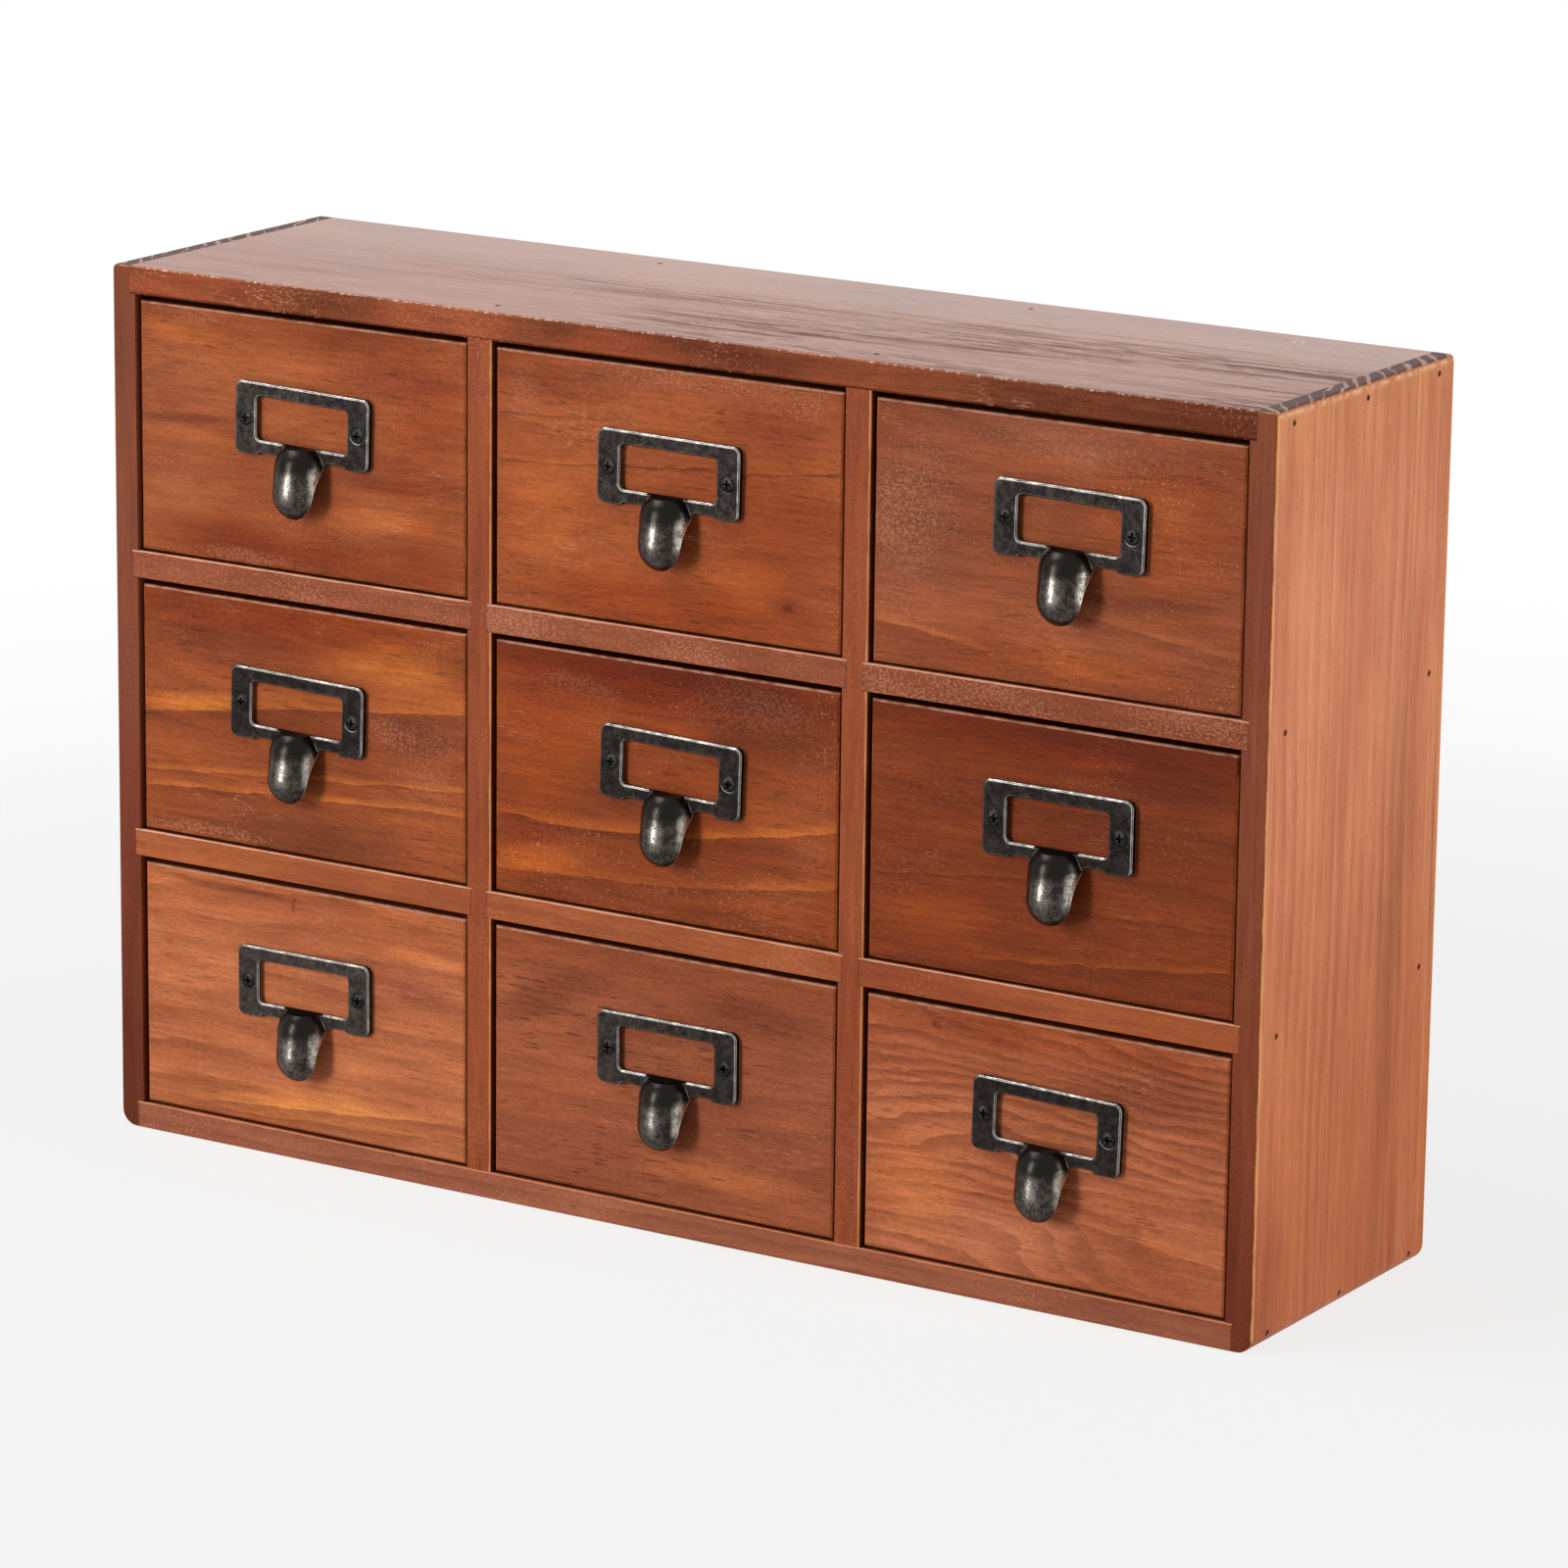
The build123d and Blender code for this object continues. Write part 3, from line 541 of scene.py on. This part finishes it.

# Sides: two full-height pine boards with straight, lighter grain, rebated for the panels
# and housed for the shelves. Their dark end grain shows on top with pale slashes, their
# front edge is dark, and the line between it and the outer face is rubbed golden with a
# painted highlight on it.
outer_x, carcass_rear = 0.1875, 0.05
side_stain = (208, 133, 93), (193, 116, 79), (156, 86, 57)
for node, seed, low_x, high_x, front_tint in (
        ("right_side", 12.2, -1.0, outer_x, (0.42, 0.29, 0.26, 1)),
        ("left_side", 13.2, -outer_x, 1.0, (0.35, 0.25, 0.23, 1))):
    low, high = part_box(node)
    tree, shader, place, grain, face, edge, glints = board(
        node, "zxy", seed, side_stain, spacing=0.006, wander=0.003, fibre=0.13, glints=0.3,
        wrinkles=0.0, reach=0.0005, bounds=((low_x, low[1], low[2]), (high_x, high[1], high[2])))
    x, y, z = (coordinate(tree, place, axis) for axis in "xyz")
    outward = calculate(tree, "ABSOLUTE", x)

    # Pale and dark lines in the grain, the dark ones mostly towards the back.
    pale_lines = noise(tree, grain, (5, 420, 420), detail=3, roughness=0.7)
    pale_lines = product(tree, ramp(tree, pale_lines, 0.54, 0.66), 0.24)
    face = blend(tree, pale_lines, face, colour(232, 168, 132))
    dark_lines = noise(tree, grain, (4, 210, 210), detail=3, roughness=0.65)
    towards_back = calculate(tree, "MULTIPLY_ADD", z, -0.12, y)
    towards_back = ramp(tree, towards_back, -0.015, 0.03, 0.22, 0.85)
    dark_lines = product(tree, ramp(tree, dark_lines, 0.52, 0.64), towards_back)
    face = tinted(tree, dark_lines, face, (0.68, 0.64, 0.60, 1))

    # A dull upright band, painted shade lower down, painted light at the top and rear, a
    # bleached patch in the upper front and darker wood at the front foot.
    band = calculate(tree, "SUBTRACT", calculate(tree, "MULTIPLY_ADD", z, -0.03, y), 0.024)
    band = product(
        tree, ramp(tree, calculate(tree, "ABSOLUTE", band), 0.014, 0.003),
        ramp(tree, z, 0.21, 0.11),
        ramp(tree, noise(tree, grain, (8, 160, 160), detail=3), 0.36, 0.62, 0.25, 1.0))
    face = tinted(tree, band, face, (0.76, 0.74, 0.66, 1))
    # Painted shade, deepest at the foot.
    face = tinted(tree, ramp(tree, z, 0.2, 0.02), face, (0.90, 0.72, 0.55, 1))
    # Painted light: lighter and more golden towards the top and the rear.
    painted_light_top_rear = calculate(tree, "MAXIMUM", ramp(tree, z, 0.225, cabinet_top, 0.0, 0.6),
                       ramp(tree, y, carcass_rear - 0.008, carcass_rear, 0.0, 0.6))
    face = tinted(tree, painted_light_top_rear, face, (1.0, 1.06, 0.88, 1))
    bleached = product(tree, ramp(tree, y, 0.01, -0.02), ramp(tree, z, 0.09, 0.15),
                       ramp(tree, z, 0.235, 0.2))
    face = tinted(tree, bleached, face, (1.09, 1.11, 1.14, 1))
    darker_front_foot = product(tree, ramp(tree, y, -0.02, -0.045), ramp(tree, z, 0.06, 0.02))
    face = tinted(tree, darker_front_foot, face, (0.78, 0.74, 0.71, 1))

    # The dark front edge, and on the outer face the corners and the top rubbed golden, with a
    # painted highlight along them.
    outer_face = ramp(tree, outward, outer_x - 0.0003, outer_x - 0.0001)
    front_edge = product(tree, ramp(tree, y, carcass_front + 0.0006, carcass_front + 0.0001),
                         calculate(tree, "SUBTRACT", 1.0, outer_face))
    face = tinted(tree, front_edge, face, front_tint)
    near_corner = calculate(
        tree, "MAXIMUM", ramp(tree, y, carcass_front + 0.0012, carcass_front + 0.0008),
        ramp(tree, y, carcass_rear - 0.0014, carcass_rear - 0.0008, 0.0, 0.7))
    broken_up = ramp(tree, noise(tree, place, (200, 200, 60), detail=2), 0.35, 0.55, 0.4, 0.9)
    corner_rub_highlight = product(tree, outer_face, near_corner, broken_up)
    face = blend(tree, corner_rub_highlight, face, colour(232, 164, 104))
    broken_up = ramp(tree, noise(tree, place, (260, 260, 260), detail=2), 0.42, 0.6, 0.05, 0.75)
    near_top = ramp(tree, z, cabinet_top - 0.0028, cabinet_top - 0.0009)
    face = blend(tree, product(tree, outer_face, near_top, broken_up), face, colour(236, 188, 142))

    # The end grain on top, crossed by slanting pale slashes.
    slant = calculate(tree, "MULTIPLY_ADD", x, 1.5, y)
    slash_drift = product(tree, noise(tree, place, (50, 50, 50), detail=3), 3.0)
    slash_phase = calculate(tree, "MULTIPLY_ADD", slant, 130.0, slash_drift)
    slash_phase = calculate(tree, "FRACT", slash_phase)
    slash_width = ramp(tree, noise(tree, place, (90, 90, 90), detail=1), 0.35, 0.65, 0.04, 0.32)
    past_slash = calculate(tree, "SUBTRACT", slash_phase, slash_width)
    slashes = product(tree, ramp(tree, slash_phase, 0.0, 0.08),
                      ramp(tree, past_slash, 0.0, 0.08, 1.0, 0.0))
    end_grain = ramp(tree, z, cabinet_top - 0.0006, cabinet_top - 0.0002)
    slashed = blend(tree, slashes, colour(88, 56, 49), colour(190, 152, 138))
    face = blend(tree, end_grain, face, slashed)

    # Painted shade on the inner face behind its front edge.
    inner_face = ramp(tree, outward, outer_x - 0.0079, outer_x - 0.0076, 1.0, 0.0)
    behind = ramp(tree, y, carcass_front + 0.0003, carcass_front + 0.0007)
    face = tinted(tree, product(tree, inner_face, behind), face, cell_shade)
    close_board(tree, shader, rub_edges(tree, face, edge, colour(216, 158, 100)), glints)

# Back panel: thin plywood let in between the outer boards, nailed to the dividers and
# shelves, and stained on the outside.
tree, shader, place, grain, face, edge, glints = board(
    "back_panel", "zyx", 15.0, ((166, 104, 70), (150, 90, 58), (112, 66, 42)))
close_board(tree, shader, rub_edges(tree, face, edge, orange_rub), glints)

# Carcass nails: forty thin steel nails, sunk a little below the wood and gone rusty. Along
# the rear of the top they are filled over.
nail_metal, tree, shader, place = new_finish("nail steel", 0.5, 0.2, metallic=0.2)
rust = ramp(tree, noise(tree, place, (900, 900, 900), detail=3), 0.35, 0.65)
driven = blend(tree, rust, colour(62, 36, 26), colour(118, 74, 52))
filled = product(tree, ramp(tree, coordinate(tree, place, "z"), 0.252, 0.2535),
                 ramp(tree, coordinate(tree, place, "y"), 0.02, 0.03))
nail_colour = blend(tree, filled, driven, colour(186, 128, 108))
tree.links.new(nail_colour, shader.inputs["Base Color"])
dress("carcass_nails", nail_metal)

# Drawer fronts: nine pieces of pine, each with its own figure and set a little back in its
# cell. The stain has pooled in the soft wood, so every board shows its own glowing and dull
# patches, and the varnish is pebbled here and there.
patch, given, result = open_group(
    "stain patch",
    {"Vector": (0.0, 0.0, 0.0), "Centre": (0.0, 0.0, 0.0), "Half Width": 0.02,
     "Half Height": 0.005, "Slope": 0.0},
    {"Mask": float},
)
away = vector_math(patch, "SUBTRACT", given["Vector"], given["Centre"])
dx, dy, dz = add_node(patch, "ShaderNodeSeparateXYZ", {0: away}).outputs
dz = calculate(patch, "SUBTRACT", dz, product(patch, dx, given["Slope"]))
oval = add_node(patch, "ShaderNodeCombineXYZ", {
    0: calculate(patch, "DIVIDE", dx, given["Half Width"]),
    1: calculate(patch, "DIVIDE", dz, given["Half Height"]),
}).outputs[0]
patch.links.new(ramp(patch, measure(patch, "LENGTH", oval), 0.25, 1.15, 1.0, 0.0), result["Mask"])


def soft_patch(tree, here, x, z, half_width, half_height, slope=0.0):
    """The mask of a soft slanted ellipse on the front, given in millimetres."""
    return place_group(tree, patch, {
        "Vector": vector_math(tree, "MULTIPLY", here, (1, 0, 1)), "Centre": (x / 1000, 0, z / 1000),
        "Half Width": half_width / 1000, "Half Height": half_height / 1000, "Slope": slope,
    })["Mask"]


glow = (1.35, 1.42, 1.2, 1)
bright_glow = (1.6, 1.85, 1.45, 1)
dull = (0.74, 0.68, 0.74, 1)
amber = (1.02, 0.92, 0.6, 1)
deep = (0.55, 0.48, 0.5, 1)
smoky = (0.68, 0.62, 0.62, 1)
red = (0.86, 0.73, 0.58, 1)
grey = (0.92, 0.98, 1.25, 1)
warm = (0.96, 0.84, 0.66, 1)
pinkish = (1.1, 1.22, 1.38, 1)
brown = (0.86, 0.84, 0.76, 1)

# Marks are in millimetres from the middle of the front. A patch is x, z, half width, half
# height, slope, tint; pebbles end in a share instead. A line is height, slope, bow, start,
# end, glow height, shade depth, glow, shade: it glows above its curve and is dull below.
drawer_figures = {
    "top_left": dict(
        stain=((177, 96, 53), (147, 73, 37), (108, 50, 24)),
        spacing=0.011, figure=0.35, tilt=0.02, glints=0.35,
        patches=((-42, 29, 20, 4, 0.0, glow), (-40, 3.5, 30, 2.2, 0.05, smoky),
                 (-38, -1, 22, 3, 0.0, glow), (24, -18, 26, 5, 0.02, glow),
                 (30, 18, 34, 22, 0.0, red), (34, 22, 24, 8, 0.0, dull),
                 (30, -8, 20, 3, 0.0, red), (0, -30, 64, 10, 0.0, red),
                 (44, 0, 16, 44, 0.0, warm), (0, -30, 64, 12, 0.0, warm),
                 (-44, 0, 22, 48, 0.0, pinkish), (0, -31, 64, 14, 0.0, brown),
                 (0, 33, 64, 9, 0.0, brown)),
        pebbles=((-42, 34, 20, 5, 0.28), (30, 20, 34, 24, 0.16), (-20, -34, 40, 4, 0.28),
                 (10, -22, 40, 8, 0.16))),
    "top_centre": dict(
        stain=((171, 88, 44), (147, 70, 32), (99, 44, 21)),
        spacing=0.013, figure=0.25, tilt=-0.02, glints=0.35,
        patches=((24, -20, 22, 9, 0.0, glow), (-40, -10, 16, 16, 0.0, glow),
                 (38.5, -24.4, 6, 3.5, 0.0, dull), (38.5, -24.4, 1.8, 1.5, 0.0, deep),
                 (34, 24, 26, 9, 0.0, dull), (0, 32, 50, 4, 0.0, grey),
                 (32, -2, 34, 30, 0.0, red), (0, -30, 60, 10, 0.0, red),
                 (0, -30, 64, 12, 0.0, warm), (0, 34, 64, 12, 0.0, pinkish)),
        pebbles=((10, 34, 60, 5, 0.39), (40, 30, 24, 8, 0.33), (-48, 24, 12, 14, 0.22)),
        lines=((22.4, 0.088, 0.0, -56, -18, 1.5, 1.2, 0.0, 0.8),
               (9.0, 0.08, 0.0, -56, 56, 2.0, 0.9, 0.2, 1.0))),
    "top_right": dict(
        stain=((168, 89, 52), (146, 74, 41), (110, 54, 30)),
        spacing=0.010, figure=0.3, tilt=0.03, glints=0.7,
        patches=((-42, 4, 22, 34, 0.0, grey), (32, 8, 26, 20, 0.0, glow),
                 (10, -28, 30, 6, 0.0, glow), (30, -10, 26, 3, 0.05, dull),
                 (34, 14, 30, 26, 0.0, red), (0, -30, 60, 8, 0.0, red),
                 (0, 34, 64, 13, 0.0, pinkish), (0, 33, 60, 8, 0.0, grey)),
        pebbles=((-44, 10, 26, 34, 0.44), (10, 30, 60, 8, 0.28)),
        lines=((-34, -0.28, -2.0, -56, -20, 2.5, 4.0, 0.6, 0.3),
               (-14, -0.12, 0.0, 0, 56, 5, 5, 0.3, 0.4))),
    "middle_left": dict(
        stain=((168, 85, 41), (138, 66, 31), (97, 45, 22)),
        spacing=0.012, figure=0.3, tilt=0.05, glints=0.3,
        patches=((34, 24, 26, 9, 0.1, bright_glow), (-36, 4, 18, 4, 0.1, bright_glow),
                 (-20, 26, 36, 12, 0.0, dull), (40, 4, 20, 8, 0.1, grey),
                 (40, 4, 20, 8, 0.1, dull), (0, -30, 60, 7, 0.0, dull),
                 (-10, 33, 60, 8, 0.0, warm), (0, 33, 64, 12, 0.0, amber),
                 (0, -30, 60, 8, 0.0, pinkish)),
        pebbles=((38, 3, 26, 9, 0.42), (-30, -34, 36, 4, 0.44), (44, -12, 16, 20, 0.28),
                 (46, 30, 14, 8, 0.28)),
        lines=((6.0, 0.125, 0.0, -57, 57, 7, 7, 0.8, 0.6),
               (-14.0, 0.075, 0.0, -57, 57, 2.2, 1.5, 0.9, 0.3),
               (-19.6, 0.06, 0.0, -57, 57, 2.6, 3.5, 0.9, 0.5))),
    "middle_centre": dict(
        stain=((159, 74, 29), (135, 62, 25), (93, 39, 17)),
        spacing=0.014, figure=0.25, tilt=0.04, glints=0.6,
        patches=((0, 33, 66, 9, 0.0, smoky), (0, 31, 66, 12, 0.0, red),
                 (34, 22, 30, 14, 0.0, deep), (-40, 0, 18, 14, 0.0, glow),
                 (-40, -24, 18, 5, 0.1, bright_glow), (30, -14, 26, 6, 0.1, dull),
                 (0, 32, 64, 12, 0.0, warm), (-42, 0, 18, 44, 0.0, warm),
                 (0, 33, 64, 12, 0.0, amber), (40, -6, 18, 34, 0.0, pinkish)),
        pebbles=((24, 27, 46, 12, 0.15), (-30, 26, 30, 6, 0.15), (48, 0, 12, 30, 0.18)),
        lines=((-12.0, 0.085, 1.2, -57, 57, 3.5, 6, 1.0, 0.6),
               (-26.5, 0.09, 0.8, -57, 57, 3.0, 4, 0.7, 0.5))),
    "middle_right": dict(
        stain=((141, 64, 25), (125, 53, 20), (91, 36, 14)),
        spacing=0.012, figure=0.3, tilt=-0.02, glints=0.3, wrinkles=0.2,
        patches=((36, 24, 24, 10, 0.0, dull), (-34, -22, 24, 10, 0.0, glow),
                 (0, 34, 64, 7, 0.0, smoky), (0, 33, 64, 12, 0.0, warm),
                 (0, 33, 64, 12, 0.0, amber)),
        lines=((-6.8, 0.01, -1.5, -57, 6, 1.5, 1.2, 0.2, 0.8),
               (-29.0, 0.1, 0.0, -20, 57, 2.0, 8, 0.6, 0.5),
               (-14.0, 0.02, 0.0, 0, 57, 1.5, 1.0, 0.2, 0.6))),
    "bottom_left": dict(
        stain=((204, 122, 77), (178, 99, 61), (135, 69, 41)),
        spacing=0.0085, figure=0.55, tilt=0.02, glints=0.3,
        patches=((0, -27, 34, 5, 0.08, glow), (-28, 33, 30, 1.6, 0.0, deep),
                 (-3.5, 31.5, 0.7, 4, 0.0, deep), (40, 12, 22, 4, -0.1, dull),
                 (40, 22, 20, 2.5, -0.05, glow), (0, -30, 64, 9, 0.0, brown)),
        lines=((-29.5, 0.09, 0.0, -40, 57, 4, 4, 0.5, 0.5),
               (-33, 0.05, 0.0, -40, 40, 3, 2, 0.4, 0.4))),
    "bottom_centre": dict(
        stain=((168, 92, 57), (152, 80, 50), (111, 56, 36)),
        spacing=0.010, figure=0.3, tilt=-0.03, glints=0.25, flecks=1.0,
        patches=((-38, 18, 24, 8, 0.42, smoky), (32, 23, 30, 7, -0.1, smoky),
                 (20, -24, 30, 6, 0.0, glow))),
    "bottom_right": dict(
        stain=((200, 116, 75), (173, 94, 57), (129, 64, 39)),
        spacing=0.0046, wander=0.016, figure=0.6, tilt=0.03, glints=0.35,
        patches=((34, 24, 30, 12, 0.0, dull), (0, 33, 64, 8, 0.0, red),
                 (-35, 30, 2.2, 1.5, 0.0, deep), (-40, -16, 18, 18, 0.0, glow),
                 (-20, -26, 50, 14, 0.0, pinkish)),
        lines=((-16, -0.12, 0.0, 10, 57, 4, 4, 0.4, 0.4),)),
}

front_seed = 20.0
for cell, look in drawer_figures.items():
    front_seed += 1.37
    node = f"{cell}_front"
    tree, shader, place, grain, face, edge, glints = board(
        node, "xyz", front_seed, look["stain"], spacing=look["spacing"],
        wander=look.get("wander", look["spacing"]), tilt=look["tilt"], figure=look["figure"],
        flecks=look.get("flecks", 0.6), fibre=0.25, glints=look["glints"],
        wrinkles=look.get("wrinkles", 0.45), gloss=0.085)
    low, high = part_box(node)
    middle = ((low[0] + high[0]) / 2, low[1], (low[2] + high[2]) / 2)
    here = vector_math(tree, "SUBTRACT", place, middle)
    here = wandering(tree, here, grain, (0.014, 0.0, 0.005))
    for *oval, tint in look["patches"]:
        face = tinted(tree, soft_patch(tree, here, *oval), face, tint)
    for (height, slope, bow, start, end, glow_height, shade_depth, glow_share,
         shade_share) in look.get("lines", ()):
        line = place_group(tree, growth_line, {
            "Vector": here, "Height": height / 1000, "Slope": slope, "Bow": bow,
            "Start": start / 1000, "End": end / 1000, "Glow Height": glow_height / 1000,
            "Shade Depth": shade_depth / 1000,
        })
        if glow_share:
            face = tinted(tree, product(tree, line["Glow"], glow_share), face, bright_glow)
        face = tinted(tree, product(tree, line["Shade"], shade_share), face, deep)

    # The front is darker along the top, and a painted highlight runs along the upper edge, broken
    # in places.
    z = coordinate(tree, place, "z")
    darker_top = ramp(tree, z, high[2] - 0.018, high[2] - 0.004, 0.0, 0.85)
    face = tinted(tree, darker_top, face, (0.86, 0.76, 0.64, 1))
    face = blend(tree, product(tree, edge, 0.7), face, orange_rub)
    # Painted shade on the front's sides, which stand in the gap behind its face.
    face = paint_shade_behind(tree, place, face, low[1])
    painted_top_highlight = product(
        tree, ramp(tree, z, high[2] - 0.0007, high[2] - 0.0005),
        ramp(tree, noise(tree, place, (300, 300, 300), detail=3), 0.35, 0.6, 0.3, 0.9))
    y = coordinate(tree, place, "y")
    front_side = ramp(tree, y, low[1] + 0.0007, low[1] + 0.0009, 1.0, 0.0)
    face = blend(tree, product(tree, painted_top_highlight, front_side), face, pale_highlight)

    # Pebbled areas of the varnish, a little greyer and with more painted glints.
    for *oval, share in look.get("pebbles", ()):
        mask = soft_patch(tree, here, *oval)
        pebbled = place_group(tree, varnish, {"Vector": place, "Amount": share, "Cover": mask})
        face = tinted(tree, product(tree, mask, share * 0.35), face, (0.86, 0.84, 0.98, 1))
        glints = calculate(tree, "MAXIMUM", glints, product(tree, pebbled["Glints"], mask))
    close_board(tree, shader, face, glints)

# Drawer walls and floors: three thin pine walls butted to each front, and a plywood floor
# in grooves between them, both only lightly stained.
inside_boards = {
    "walls": dict(order="yxz", stain=((196, 140, 98), (180, 122, 82), (146, 92, 58))),
    "floor": dict(order="xyz", stain=((206, 160, 118), (194, 146, 104), (160, 112, 76))),
}
for count, cell in enumerate(drawer_figures):
    for part, look in inside_boards.items():
        tree, shader, place, grain, face, edge, glints = board(
            f"{cell}_{part}", seed=40.0 + count, **look)
        close_board(tree, shader, rub_edges(tree, face, edge, colour(214, 164, 120)), glints)

# Pulls: one iron casting each, a label frame with a hooded finger tab below it, held by two
# screws. It is blackened and rubbed back to bright metal along the edges, with painted
# highlights on the edges and the hood, and painted shade towards and behind the neck.
cast_width, cast_height = 0.0459, 0.0365
screw_out, screw_level, screw_seat = 0.01925, 0.0261, 0.0027
neck_half_width, frame_face = 0.0065, -0.0516
iron, tree, shader, place = new_finish("blackened iron", 0.34, 0.5, metallic=1.0)

# Across is the distance out from a pull's upright middle line, level the height above the
# tip of its hood, and on_hood 1 where it stands out further than the frame.
cast = add_node(tree, "ShaderNodeTexCoord", {}).outputs["Generated"]
cast = vector_math(tree, "MULTIPLY", cast, (cast_width, 0, cast_height))
off_centre = calculate(tree, "SUBTRACT", coordinate(tree, cast, "x"), cast_width / 2)
across = calculate(tree, "ABSOLUTE", off_centre)
level = coordinate(tree, cast, "z")
on_hood = ramp(tree, coordinate(tree, place, "y"), frame_face, frame_face - 0.001)
fine_mottle = noise(tree, place, (1500, 1500, 1500), detail=3, roughness=0.7)
broad = noise(tree, place, (480, 480, 480), detail=3, roughness=0.6)
mottle = calculate(tree, "MULTIPLY_ADD", broad, 0.5, product(tree, fine_mottle, 0.5))

# The black is worn off where the surface turns over an edge, though not round the screws
# or on the neck behind the hood. What looks up and to the right gets a painted highlight.
smoothed = add_node(tree, "ShaderNodeBevel", {"Radius": 0.0006}, samples=8).outputs[0]
plain = add_node(tree, "ShaderNodeNewGeometry", {}).outputs["Normal"]
turned_away = calculate(tree, "SUBTRACT", 1.0, measure(tree, "DOT_PRODUCT", smoothed, plain))
wear_and_highlight = calculate(tree, "SUBTRACT", broad, 0.5)
wear_and_highlight = ramp(tree, calculate(tree, "MULTIPLY_ADD", wear_and_highlight, 0.06, turned_away), 0.012, 0.05)
from_screw = add_node(tree, "ShaderNodeCombineXYZ", {
    0: calculate(tree, "SUBTRACT", across, screw_out),
    1: calculate(tree, "SUBTRACT", level, screw_level)}).outputs[0]
from_screw = measure(tree, "LENGTH", from_screw)
neck = product(
    tree, ramp(tree, across, neck_half_width + 0.0006, neck_half_width - 0.0006),
    ramp(tree, level, 0.0125, 0.0145), ramp(tree, level, 0.0222, 0.0205))
wear_and_highlight = product(
    tree, wear_and_highlight, ramp(tree, from_screw, screw_seat, screw_seat + 0.0005),
    calculate(tree, "SUBTRACT", 1.0, product(tree, neck, 0.9)),
    calculate(tree, "MULTIPLY_ADD", on_hood, -0.6, 0.9))
# Painted highlight: strongest on what faces up and to the right, and on the hood.
facing_the_light = measure(tree, "DOT_PRODUCT", smoothed, (0.8, 0, 0.95))
facing_the_light = calculate(tree, "MAXIMUM", calculate(tree, "ADD", facing_the_light, 0.25), 0.1, clamp=True)
facing_the_light = calculate(tree, "MAXIMUM", facing_the_light, product(tree, on_hood, 0.5))
wear_and_highlight = product(tree, wear_and_highlight, facing_the_light)

# The flat of the frame is mottled, greyer on some pulls and most at the cabinet's lower
# left.
grey_cast = ramp(tree, noise(tree, place, (11, 11, 11), detail=1), 0.52, 0.66, 0.0, 0.3)
lower_left = product(tree, ramp(tree, coordinate(tree, place, "x"), 0.1, -0.1),
                     ramp(tree, coordinate(tree, place, "z"), 0.11, 0.08))
grey_cast = calculate(tree, "MAXIMUM", grey_cast, lower_left)
flat_mottle = ramp(tree, mottle, 0.4, 0.66)
dark_flat = blend(tree, flat_mottle, colour(24, 21, 20), colour(49, 44, 42))
light_flat = blend(tree, flat_mottle, colour(40, 36, 34), colour(76, 69, 66))
flat = blend(tree, grey_cast, dark_flat, light_flat)

# Painted shade darkens the hood towards the neck, and painted highlights run down its crown and
# right flank.
hood = blend(tree, ramp(tree, mottle, 0.42, 0.62), colour(44, 40, 37), colour(82, 76, 70))
hood = blend(tree, ramp(tree, level, 0.0112, 0.0150), hood, colour(36, 33, 30))
crown = product(tree, ramp(tree, across, 0.0032, 0.0006), ramp(tree, level, 0.003, 0.008),
                ramp(tree, level, 0.0142, 0.0108))
flank = product(tree, ramp(tree, off_centre, 0.005, 0.0064), ramp(tree, level, 0.0035, 0.008),
                ramp(tree, level, 0.0158, 0.0125))
broken_highlight = ramp(tree, mottle, 0.4, 0.58, 0.25, 0.85)
hood_highlight = product(tree, calculate(tree, "MAXIMUM", crown, flank), broken_highlight)
hood = blend(tree, hood_highlight, hood, colour(136, 129, 121))
hood = blend(tree, product(tree, flank, broken_highlight, 0.7), hood, colour(214, 206, 194))

# Bright rubbed metal, carrying the painted highlight.
base = blend(tree, wear_and_highlight, blend(tree, on_hood, flat, hood), colour(236, 234, 228))

# Painted shade, nearly black, in the crease where the neck meets the frame.
neck_crease_shade = product(
    tree, ramp(tree, across, neck_half_width + 0.0006, neck_half_width - 0.0002),
    ramp(tree, level, 0.0194, 0.0199), ramp(tree, level, 0.0208, 0.0204))
base = blend(tree, neck_crease_shade, base, colour(16, 15, 14))
tree.links.new(base, shader.inputs["Base Color"])
polish = ramp(tree, mottle, 0.35, 0.7, 0.44, 0.3)
polish = calculate(tree, "MULTIPLY_ADD", on_hood, -0.12, polish)
tree.links.new(calculate(tree, "MAXIMUM", polish, neck_crease_shade), shader.inputs["Roughness"])
relief(tree, shader, mottle, 0.00006)
for cell in drawer_figures:
    dress(f"{cell}_pull", iron)

# Screws: two small cross-head screws of dark steel through each label frame into the
# drawer front. Their recesses carry a painted shade, nearly black.
head_plane, recess_floor = -0.05135, -0.0510
steel, tree, shader, place = new_finish("dark screw steel", 0.4, 0.5, metallic=1.0)
mottle = ramp(tree, noise(tree, place, (900, 900, 900), detail=3), 0.35, 0.65)
head = blend(tree, mottle, colour(27, 25, 25), colour(54, 51, 50))
recess_shade = ramp(tree, coordinate(tree, place, "y"), head_plane, recess_floor)
tree.links.new(blend(tree, recess_shade, head, colour(12, 12, 12)), shader.inputs["Base Color"])
for cell in drawer_figures:
    dress(f"{cell}_screws", steel)
